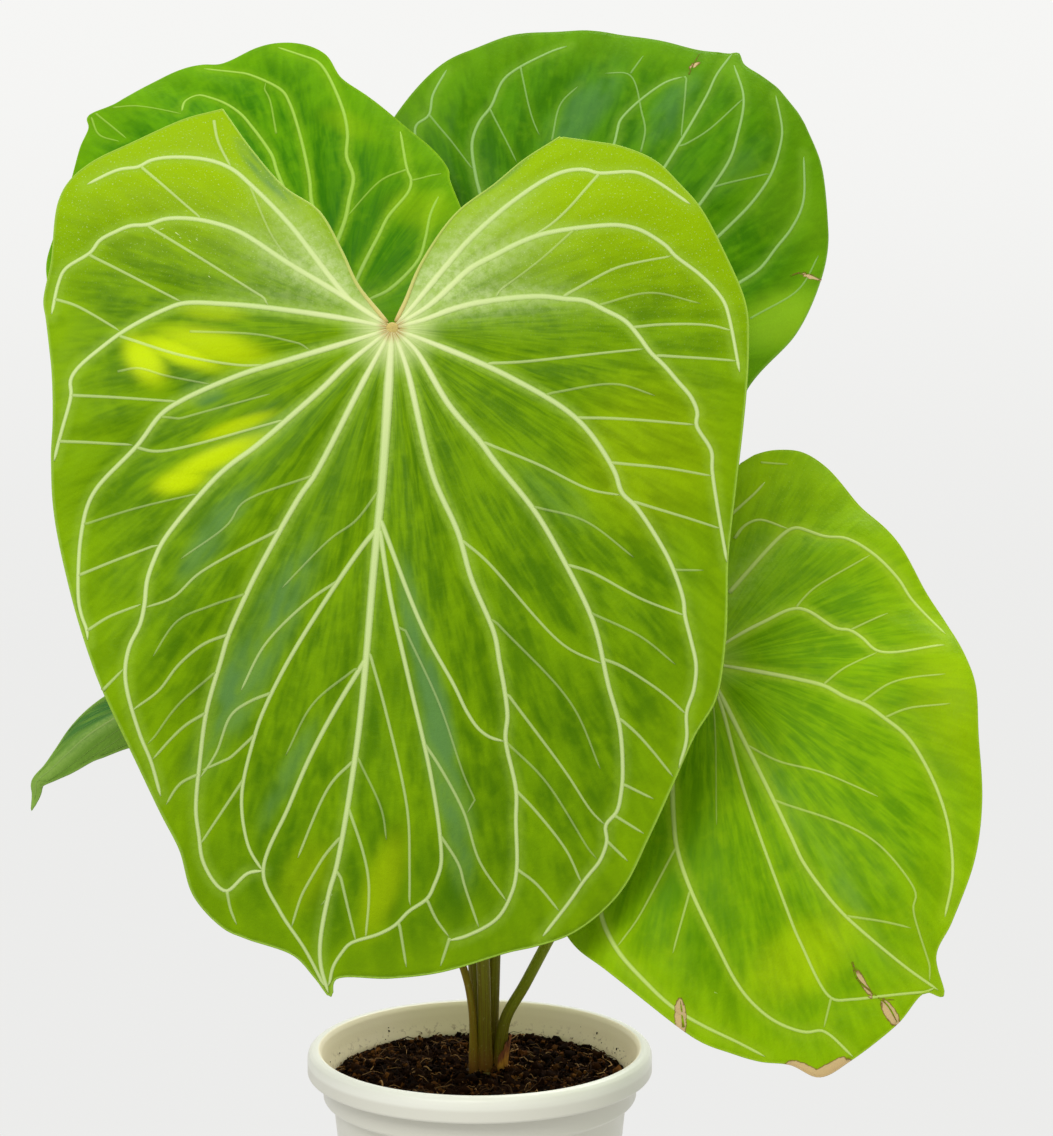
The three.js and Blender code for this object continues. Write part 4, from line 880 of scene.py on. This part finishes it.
def soil_level(x, y, reach):
    """Height of the soil: a low mound with broad clods, finer lumps between them, calm at the wall."""
    share = np.minimum(np.hypot(x, y) / reach, 1)
    broad = np.sin(0.21 * x + 1.3 * np.sin(0.13 * y)) * np.cos(0.19 * y - 0.9 * np.sin(0.17 * x))
    fine = np.sin(0.43 * x + 0.31 * y) * np.cos(0.37 * x - 0.47 * y + 1.1)
    lumps = np.sin(0.95 * x + 0.4 * y) * np.cos(0.8 * y - 0.5 * x + 2) + 0.6 * np.sin(1.7 * x - 0.9 * y)
    clods = SOIL_RELIEF * (1 - 0.6 * share ** 6) * (broad + 0.6 * fine) + 0.45 * lumps
    return SOIL_LEVEL + (SOIL_MOUND + 1) * (1 - share ** 2) - 1 + clods


def make_soil(material):
    """The soil body: from the stem's hole out over the clods to the wall, down it and under."""
    reach = SOIL_RADIUS - SOIL_CLEARANCE
    angle = around(240)
    hole = circle(9.6, angle, STEM_BOTTOM - 0.3) + STEM_CENTRE
    rings = [hole]
    for share in np.linspace(0, 1, round(90 * DETAIL) + 1):
        x, y, z = (hole + share * (circle(reach, angle, 0) - hole)).T
        rings.append(np.stack([x, y, soil_level(x, y, reach)], 1))
    for radius, z in INNER_WALL[2::-1]:
        rings.append(circle(radius - SOIL_CLEARANCE, angle, max(z, FLOOR + 0.3)))
    tube, faces = tube_parts(np.array(rings))
    parts = Parts(tube, [face[:, ::-1] for face in faces], {"shade": 0.25})
    parts.piece("soil_body", material, "coir_soil", "soil")


def ball(rings, sides):
    """A unit ball as a few rings with a point at each pole."""
    polar = np.linspace(math.pi, 0, rings + 2)[1:-1, None]
    points, faces = tube_parts(circle(np.sin(polar), around(sides), np.cos(polar)))
    points[-2:] = (0, 0, -1), (0, 0, 1)
    return points, faces


def scattered(rng, reach):
    """A random place inside a circle."""
    radius = reach * math.sqrt(rng.random())
    turn = rng.random() * 2 * math.pi
    return radius * math.cos(turn), radius * math.sin(turn)


def grain(rng, shape, size):
    """A rough grain made from a ball's points."""
    rough = 1 + rng.uniform(-0.3, 0.3, (len(shape), 1))
    return shape * rough * rng.uniform(0.6, 1.3, 3) * size


def make_crumbs(material, rng):
    """Loose soil: rough lumps on the surface, fine grains between them and a few specks on the wall."""
    reach = SOIL_RADIUS - 1
    parts = Parts()
    shape, faces = ball(4, 7)
    for number in range(round(900 * DETAIL)):
        x, y = scattered(rng, reach)
        size = min(0.6 + rng.exponential(0.6), 2.3)
        if math.hypot(x - STEM_CENTRE[0], y - STEM_CENTRE[1]) < 9:
            size *= 0.55
        if math.hypot(x, y) + size > reach:
            continue
        stretch = rng.uniform(0.5, 1.5, 3) * size
        rough = 1 + rng.uniform(-0.36, 0.36, (len(shape), 1))
        spun = np.linalg.qr(rng.normal(size=(3, 3)))[0]
        spun *= np.sign(np.linalg.det(spun))
        lump = (shape * rough * stretch) @ spun.T
        parts.add(lump + (x, y, soil_level(x, y, reach) + 0.25 * size), faces, {"shade": rng.random() ** 1.6})
    shape, faces = ball(2, 5)
    for number in range(round(3200 * DETAIL)):
        x, y = scattered(rng, reach)
        size = 0.28 + rng.exponential(0.28)
        z = soil_level(x, y, reach) + 0.3 * size + rng.random() * 0.6
        parts.add(grain(rng, shape, size) + (x, y, z), faces, {"shade": rng.random()})
    radii, levels = zip(*INNER_WALL)
    for number in range(40):
        turn = rng.random() * 2 * math.pi
        level = SOIL_LEVEL + 1 + rng.exponential(2.6)
        if level > SOIL_LEVEL + 9:
            continue
        place = circle(np.interp(level, levels, radii) - 0.1, turn, level)
        size = 0.2 + rng.exponential(0.2)
        parts.add(grain(rng, shape, size) + place, faces, {"shade": 0.3 * rng.random()})
    parts.piece("soil_crumbs", material, "coir_soil", "soil")


def make_fibres(material, rng):
    """Coir fibres and fine roots: thin curled threads lying over and poking out of the soil."""
    reach = SOIL_RADIUS - 1.5
    count = 8
    parts = Parts()
    for number in range(round(520 * DETAIL)):
        x, y = scattered(rng, reach)
        heading = rng.random() * 2 * math.pi
        step = (4 + rng.exponential(7)) / count
        bend = rng.normal(0, 0.09)
        heads = heading + bend * np.arange(count) * step + rng.normal(0, 0.12, count).cumsum()
        x = x + np.cumsum(np.cos(heads)) * step
        y = y + np.cumsum(np.sin(heads)) * step
        far = np.maximum(np.hypot(x, y) / reach, 1)
        x, y = x / far, y / far
        tilt = rng.normal(0, 0.9) * np.linspace(-0.5, 1, count)
        arch = rng.uniform(0.2, 1.6) * np.sin(np.linspace(0.2, 2.9, count))
        line = np.stack([x, y, soil_level(x, y, reach) + 0.5 + arch + tilt], 1)
        radii = (0.12 + 0.24 * rng.random() ** 2) * np.sin(np.linspace(0.35, 2.8, count))
        parts.add(*round_tube(line, radii, 4), {"shade": rng.random() ** 1.5})
    parts.piece("soil_fibres", material, "coir_soil", "soil")


def make_stem(material):
    """The short stem in the soil: a slightly knobbly stump with a rounded top."""
    points, quads = turned_surface(rounded([
        (0.02, STEM_BOTTOM), (STEM_RADIUS - 1.5, STEM_BOTTOM), (STEM_RADIUS, STEM_BOTTOM + 3),
        (STEM_RADIUS, STEM_TOP - 1.6), (STEM_RADIUS - 1, STEM_TOP), (0.02, STEM_TOP + 0.3)], 1), 72)
    x, y, z = points.T
    points[:, :2] *= (1 - 0.02 * (1 + np.sin(5 * np.arctan2(y, x) + 0.6 * z)))[:, None]
    way = np.clip((z - STEM_BOTTOM) / (STEM_TOP - STEM_BOTTOM), 0, 1)
    parts = Parts(points + STEM_CENTRE, [quads], {"way": way})
    parts.piece("stem_stump", material, "stem_skin", "stem_base")


class Graph:
    """Short calls for adding and joining nodes in one node tree."""

    def __init__(self, tree):
        self.tree = tree

    def node(self, kind, sockets=None, **settings):
        made = self.tree.nodes.new(f"ShaderNode{kind}")
        for key, value in settings.items():
            setattr(made, key, value)
        for key, value in (sockets or {}).items():
            self.feed(made.inputs[key], value)
        return made

    def feed(self, socket, value):
        """Links an output to a socket, or sets it to a value, where text is a colour's code."""
        if isinstance(value, bpy.types.NodeSocket):
            self.tree.links.new(value, socket)
        else:
            socket.default_value = colour(value) if isinstance(value, str) else value

    def value(self, name):
        return self.node("Attribute", attribute_name=name).outputs["Fac"]

    def place(self):
        return self.node("TexCoord").outputs["Object"]

    def math(self, operation, *values):
        return self.node("Math", dict(enumerate(values)), operation=operation).outputs[0]

    def times(self, first, *others):
        for other in others:
            first = self.math("MULTIPLY", first, other)
        return first

    def plus(self, first, *others):
        for other in others:
            first = self.math("ADD", first, other)
        return first

    def ramp(self, value, low, high, start=0.0, end=1.0):
        """start up to low, end from high on, and a smooth change between them."""
        sockets = {"Value": value, "From Min": low, "From Max": high, "To Min": start, "To Max": end}
        return self.node("MapRange", sockets, interpolation_type="SMOOTHSTEP").outputs["Result"]

    def mix(self, share, a, b):
        return self.node("Mix", {0: share, 6: a, 7: b}, data_type="RGBA", blend_type="MIX").outputs[2]

    def cover(self, skin, *layers):
        """A colour with others laid over it, each a share and its colour."""
        for share, tint in layers:
            skin = self.mix(share, skin, tint)
        return skin

    def noise(self, place, scale, detail, rough=0.55, bend=0.0):
        sockets = {"Vector": place, "Scale": scale, "Detail": detail, "Roughness": rough, "Distortion": bend}
        return self.node("TexNoise", sockets).outputs["Fac"]

    def streaks(self, place, x, y, detail, rough):
        """Noise of its own scale across and along."""
        return self.noise(self.node("VectorMath", {0: place, 1: (x, y, 1)}, operation="MULTIPLY").outputs[0],
                          1.0, detail, rough)

    def ribs(self, turn, x, way, y):
        """Noise that runs along a stalk or sheath."""
        return self.noise(self.node("CombineXYZ", {0: self.times(turn, x), 1: self.times(way, y)}).outputs[0],
                          1.0, 3, 0.6)


def colour(code):
    """A colour written as six hex digits, as linear light."""
    parts = [int(code[i:i + 2], 16) / 255 for i in (0, 2, 4)]
    return (*[p / 12.92 if p <= 0.04045 else ((p + 0.055) / 1.055) ** 2.4 for p in parts], 1)


def build_leaf_skin(g, given):
    """The blade's colours: mottled and streaked green, paler by the veins, the base and the margin, with
    painted sheen, painted shade and painted light in patches and painted top light on the upper lobes.
    """
    flat, fan, lift = given["Flat"], given["Fan"], given["Lift"]
    deep, edge, lit_green, powder = (given[name] for name in ("Deep", "Edge", "Lit Green", "Powder"))
    to_vein, to_main, to_margin, to_base = (given[name] for name in SKIN_VALUES[:4])
    ahead = g.node("SeparateXYZ", {0: flat}).outputs["Y"]
    mottle = g.ramp(g.noise(flat, 3.6, 3, 0.62, 0.5), 0.3, 0.68)
    streak = g.ramp(g.streaks(fan, 48, 2.4, 3, 0.64), 0.36, 0.64)
    fine = g.ramp(g.streaks(fan, 150, 8, 1, 0.6), 0.3, 0.7)
    tone = g.plus(g.times(mottle, 0.3), g.times(streak, 0.45), g.times(fine, 0.25))
    blotch = g.ramp(g.noise(flat, 11, 2, 0.65), 0.5, 0.72)
    sheen = g.plus(0.25, g.times(g.ramp(g.streaks(fan, 34, 3.2, 2, 0.62), 0.34, 0.58), 0.65))
    grainy = g.ramp(g.noise(flat, 40, 2, 0.7), 0.3, 0.7, 0.5, 1)
    dusty = g.ramp(g.noise(flat, 26, 3, 0.75), 0.35, 0.66, 0.35, 0.9)
    speck = g.ramp(g.noise(flat, 120, 1, 0.6), 0.64, 0.74, 0, 0.45)
    crease = g.ramp(g.streaks(fan, 26, 1, 1, 0.5), 0.42, 0.6, 0.25, 1)
    heart = g.ramp(to_base, 3, 23, 0.85, 0)
    skin = g.cover(
        g.mix(g.ramp(tone, 0, 1, 0.12, 0.88), deep, given["Bright"]),
        # Painted top light: the upper lobes lighter and yellower, as they would catch more light from above
        (g.ramp(ahead, -0.7, 0, lift, 0), g.mix(0.3, edge, lit_green)),
        (g.times(given["Shade"], 0.7), deep),
        (g.times(blotch, 0.2), edge),
        (g.times(g.ramp(to_margin, 0, 30, 1, 0), 0.45), edge),
        # Painted sheen: blue-green streaks where the velvet skin would catch the pale light
        (g.times(g.ramp(given["Cool"], 0, 0.9), sheen), given["Sheen"]),
        (g.ramp(to_vein, 0.6, 4.5, 0.26, 0), edge),
        (g.times(g.ramp(to_main, 1.2, 5, 0.62, 0), grainy, g.ramp(to_base, 20, 150, 1, 0.35)), given["Halo"]),
        (g.times(heart, g.ramp(streak, 0, 1, 0.65, 1), g.ramp(lift, 0, 0.8, 0.3, 1)), given["Base Vein"]),
        (g.times(g.ramp(ahead, -0.22, 0.04, 1, 0), dusty, g.ramp(to_main, 1, 12, 1, 0.25),
                 g.ramp(to_base, 20, 95, 1, 0)), powder),
        (g.times(speck, g.ramp(ahead, -0.5, 0.15, 1, 0)), powder),
        # Painted light: yellow-green pools where light would shine through the blade from behind
        (given["Lit"], lit_green),
        (given["Vein Mask"], g.mix(g.ramp(to_base, 5, 60), given["Base Vein"], given["Vein"])),
        (g.ramp(to_margin, 0.1, 1.1, 0.7, 0), given["Halo"]),
        (given["Tan"], given["Tan Colour"]),
        (g.times(g.ramp(to_base, 2.2, 7.5, 0.9, 0), crease), "b07a2c"),
    )
    crack = g.plus(given["Dry"], g.times(g.noise(flat, 45, 2, 0.7), 0.4))
    dry = g.ramp(crack, 0.56, 0.7)
    skin = g.mix(given["Upper"], g.mix(0.55, skin, given["Under"]), skin)
    return {
        "Colour": g.mix(dry, skin, g.mix(g.ramp(crack, 0.64, 0.8), "7a5424", "d8c08c")),
        "Roughness": g.plus(0.42, g.times(streak, 0.12), g.times(dry, 0.3)),
        "Height": g.times(g.noise(flat, 60, 2, 0.6), g.ramp(given["Vein Mask"], 0, 0.6, 1, 0.2)),
    }


def shared_leaf_skin():
    """The node group that all leaves share, with named sockets."""
    tree = bpy.data.node_groups.new("Leaf skin", "ShaderNodeTree")
    inputs = {
        "Flat": "Vector", "Fan": "Vector", **dict.fromkeys(SKIN_COLOURS, "Color"),
        **dict.fromkeys(("Lift", *SKIN_VALUES), "Float"),
    }
    outputs = {"Colour": "Color", "Roughness": "Float", "Height": "Float"}
    for way, sockets in (("INPUT", inputs), ("OUTPUT", outputs)):
        for key, kind in sockets.items():
            tree.interface.new_socket(name=key, in_out=way, socket_type=f"NodeSocket{kind}")
    g = Graph(tree)
    made = build_leaf_skin(g, tree.nodes.new("NodeGroupInput").outputs)
    leave = tree.nodes.new("NodeGroupOutput")
    for key, value in made.items():
        g.feed(leave.inputs[key], value)
    return tree


def new_material(name):
    """An empty material and its graph."""
    material = bpy.data.materials.new(name)
    material.use_nodes = True
    material.node_tree.nodes.clear()
    return material, Graph(material.node_tree)


def leaf_material(leaf, group):
    """A leaf's skin: the shared group with this leaf's greens, some light let through the blade."""
    material, g = new_material(f"Leaf {leaf.name.replace('_', ' ')}")
    sockets = {key: g.value(key) for key in SKIN_VALUES}
    sockets |= {key: g.node("UVMap", uv_map=key.lower()).outputs["UV"] for key in ("Flat", "Fan")}
    made = g.node("Group", node_tree=group)
    for key, value in {**sockets, **dict(zip(SKIN_COLOURS, leaf.paint)), "Lift": leaf.lift}.items():
        g.feed(made.inputs[key], value)
    skin, rough, height = made.outputs
    normal = g.node("Bump", {"Height": height, "Strength": 0.35, "Distance": 0.0006}).outputs[0]
    shader = g.node("BsdfPrincipled", {
        "Base Color": skin, "Roughness": rough, "Normal": normal, "Specular IOR Level": 0.06})
    clear = g.node("BsdfTranslucent", {"Color": skin, "Normal": normal})
    blend = g.node("MixShader", {0: leaf.glow, 1: shader.outputs[0], 2: clear.outputs[0]})
    g.node("OutputMaterial", {"Surface": blend.outputs[0]})
    return material


def plain_material(name, build, **constants):
    """A principled material whose build gives its linked sockets; constants are its plain values."""
    material, g = new_material(name)
    shader = g.node("BsdfPrincipled", {key.replace("_", " "): value for key, value in constants.items()})
    made = build(g)
    if "Height" in made:
        height, distance = made.pop("Height")
        bump = g.node("Bump", {"Height": height, "Strength": 0.6, "Distance": distance})
        made["Normal"] = bump.outputs["Normal"]
    for key, value in made.items():
        g.feed(shader.inputs[key], value)
    g.node("OutputMaterial", {"Surface": shader.outputs[0]})
    return material


def stalk_colours(g):
    """Olive at the foot, greener above, a paler knee; fine lengthwise streaks and small lenticels."""
    place = g.place()
    way, from_end, turn, ripe = (g.value(name) for name in ("way", "from_end", "turn", "ripe"))
    streak = g.ramp(g.ribs(turn, 40, way, 12), 0.35, 0.65)
    skin = g.cover(
        g.mix(g.ramp(way, 0, 0.55), "625200", "6c8c00"),
        (g.times(g.ramp(ripe, 0, 0.1, 0.55, 0), g.ramp(way, 0.04, 0.25)), "8c9c10"),
        (g.times(ripe, g.ramp(way, 0, 0.6, 1, 0.2)), "8a6a14"),
        (g.times(streak, 0.4), "8f9410"),
        (g.ramp(way, 0, 0.05, 0.75, 0), "7a4a1e"),
        (g.times(g.ramp(g.noise(place, 900, 2, 0.5), 0.62, 0.72), 0.3), "a9a860"),
        (g.ramp(from_end, 0, 16, 0.55, 0), "b0bc48"),
        (g.ramp(from_end, 0, 2.5, 0.95, 0), "c8b268"),
    )
    return {"Base Color": skin, "Height": (g.plus(streak, g.noise(place, 500, 3)), 0.0003)}


def soil_colours(g):
    """Dark damp coir, each crumb its own brown; some are light husk."""
    place = g.place()
    cloud = g.ramp(g.noise(place, 90, 2, 0.6), 0.35, 0.65)
    grit = g.noise(place, 700, 3, 0.65)
    husk = g.ramp(g.value("shade"), 0.45, 1)
    skin = g.mix(husk, g.mix(cloud, "0c0501", "1e0f05"), g.mix(cloud, "3c2008", "704820"))
    return {"Base Color": g.mix(g.ramp(grit, 0.6, 0.8, 0, 0.4), skin, "8a6440"), "Height": (grit, 0.0012)}


def fibre_colours(g):
    """Dark to straw brown, thread by thread."""
    skin = g.mix(g.ramp(g.value("shade"), 0.2, 0.95), "2e1a0a", "a27c4c")
    return {"Base Color": g.mix(g.ramp(g.noise(g.place(), 300, 3), 0.5, 0.8, 0, 0.5), skin, "5d3f22")}


def sheath_colours(g):
    """Dry papery brown, darker and redder towards the torn top, with lengthwise ribs."""
    way = g.value("way")
    rib = g.ribs(g.value("turn"), 34, way, 2.5)
    share = g.ramp(rib, 0.35, 0.65)
    up = g.ramp(g.plus(way, g.times(g.noise(g.place(), 180, 2), 0.3)), 0.55, 0.85)
    skin = g.mix(up, g.mix(share, "a4660c", "d89a30"), g.mix(share, "5e2c12", "a05c2a"))
    return {"Base Color": skin, "Height": (rib, 0.0006)}


def stem_colours(g):
    """Rough brown bark."""
    bark = g.noise(g.place(), 260, 4, 0.6)
    return {"Base Color": g.mix(g.ramp(bark, 0.35, 0.65), "4a3216", "7d6a2c"), "Height": (bark, 0.001)}


def pot_colours(g):
    """Matte off-white plastic, dusty inside by the soil, with painted shade on the body below the rim and a
    painted glow on the inner wall for the light that comes through it.

    A place is inside where its radius falls short of a sloped line through the wall.
    """
    place = g.place()
    height = g.node("SeparateXYZ", {0: place}).outputs["Z"]
    level = g.node("VectorMath", {0: place, 1: (1, 1, 0)}, operation="MULTIPLY").outputs[0]
    radius = g.node("VectorMath", {0: level}, operation="LENGTH").outputs["Value"]
    past = g.math("SUBTRACT", radius, g.math("MULTIPLY_ADD", height, 0.304, 0.0282))
    inside = g.times(g.ramp(past, 0.0005, 0.0016, 1, 0), g.ramp(height, 0.119, 0.1215))
    dust = g.ramp(g.noise(place, 420, 2, 0.7), 0.52, 0.72)
    skin = g.cover(
        g.mix(g.ramp(g.noise(place, 14, 2, 0.5), 0.3, 0.7), "dcdccd", "e4e4d8"),
        # Painted shade: the body below the rim's lip a little darker, as light falls from above
        (g.ramp(height, 0.1285, 0.1305, 0.75, 0), "cccabc"),
        (g.times(inside, 0.7), "e4d8b0"),
        (g.times(inside, g.ramp(height, 0.1215, 0.129, 0.8, 0), dust), "6a5034"),
    )
    return {
        "Base Color": skin, "Roughness": g.ramp(g.noise(place, 60, 1, 0.6), 0.3, 0.7, 0.34, 0.46),
        # Painted glow: the inner wall gives off a warm light, standing in for light through the thin wall
        "Emission Color": g.mix(inside, (0, 0, 0, 1), (0.12, 0.1, 0.055, 1)),
        "Height": (g.noise(place, 900, 2), 0.00008),
    }


def backdrop_colours(g):
    """Pale grey, a little brighter up the sweep."""
    height = g.node("SeparateXYZ", {0: g.place()}).outputs["Z"]
    return {"Emission Color": g.mix(g.ramp(height, 0, 0.8), (0.84, 0.84, 0.83, 1), (0.92, 0.92, 0.905, 1))}


stalk_skin = plain_material("Stalk skin", stalk_colours, Roughness=0.45, Specular_IOR_Level=0.15)
leaf_skin = shared_leaf_skin()
leaves = {table["name"]: Leaf(table) for table in LEAF_TABLES}
for leaf in leaves.values():
    paint = leaf_material(leaf, leaf_skin)
    make_blade(leaf, paint)
    make_veins(leaf, paint)
    make_rim(leaf, paint)
    make_stalk(leaf, stalk_skin)

make_sheath(leaves["lower_right"], plain_material("Dry sheath", sheath_colours, Roughness=0.75))
make_stem(plain_material("Stem skin", stem_colours, Roughness=0.7))
# The emission strength turns on the painted glow inside the pot
make_pot(plain_material("White plastic", pot_colours, Specular_IOR_Level=0.45, Emission_Strength=1.0))
soil_skin = plain_material("Coir soil", soil_colours, Roughness=0.95, Specular_IOR_Level=0.03)
rng = np.random.default_rng(7)
make_soil(soil_skin)
make_crumbs(soil_skin, rng)
make_fibres(plain_material("Coir fibre", fibre_colours, Roughness=0.85, Specular_IOR_Level=0.1), rng)

# The stage: a pale floor that sweeps up behind, and soft light from all round
DEPTH, SWEEP, WIDTH = 1500, 600, 2600
turn = np.linspace(0, math.pi / 2, 24)
sweep = [(DEPTH + SWEEP * math.sin(t), SWEEP * (1 - math.cos(t))) for t in turn]
line = [(-1400, 0), *sweep, (DEPTH + SWEEP, 3000)]
points = np.array([(x, y, z - 0.2) for x in (-WIDTH, WIDTH) for y, z in line])
Parts(points, [grid_faces(2, len(line))]).mesh("backdrop", plain_material(
    "Backdrop", backdrop_colours, Base_Color=(0, 0, 0, 1), Roughness=1.0, Specular_IOR_Level=0.0,
    Emission_Strength=1.0))


def soft_light(name, place, size, watts):
    """A square area light at a place, turned towards the plant's middle, its size in metres."""
    data = bpy.data.lights.new(name, "AREA")
    data.size = size
    data.energy = watts
    lamp = bpy.data.objects.new(name, data)
    lamp.location = place
    lamp.rotation_euler = (Vector((0, 0, 0.35)) - Vector(place)).to_track_quat("-Z", "Y").to_euler()
    bpy.context.scene.collection.objects.link(lamp)


soft_light("Key light", (-0.5, -1.35, 1.9), 1.4, 38)
soft_light("Back light", (0.5, 1.1, 1.9), 1.2, 30)

world = bpy.data.worlds.new("Soft studio")
world.use_nodes = True
background = world.node_tree.nodes["Background"].inputs
background["Color"].default_value = (1.0, 1.0, 0.99, 1)
background["Strength"].default_value = 0.62
bpy.context.scene.world = world
bpy.context.scene.view_settings.view_transform = "Standard"

# The camera of the photograph: 85 mm lens, looking 6.7 degrees down
camera_data = bpy.data.cameras.new("Camera")
camera_data.lens = 85
camera_data.sensor_width = 36
camera = bpy.data.objects.new("Camera", camera_data)
camera.location = (0.0203, -1.1374, 0.4779)
camera.rotation_euler = (math.radians(90 - 6.7), 0, 0)
bpy.context.scene.collection.objects.link(camera)
bpy.context.scene.camera = camera
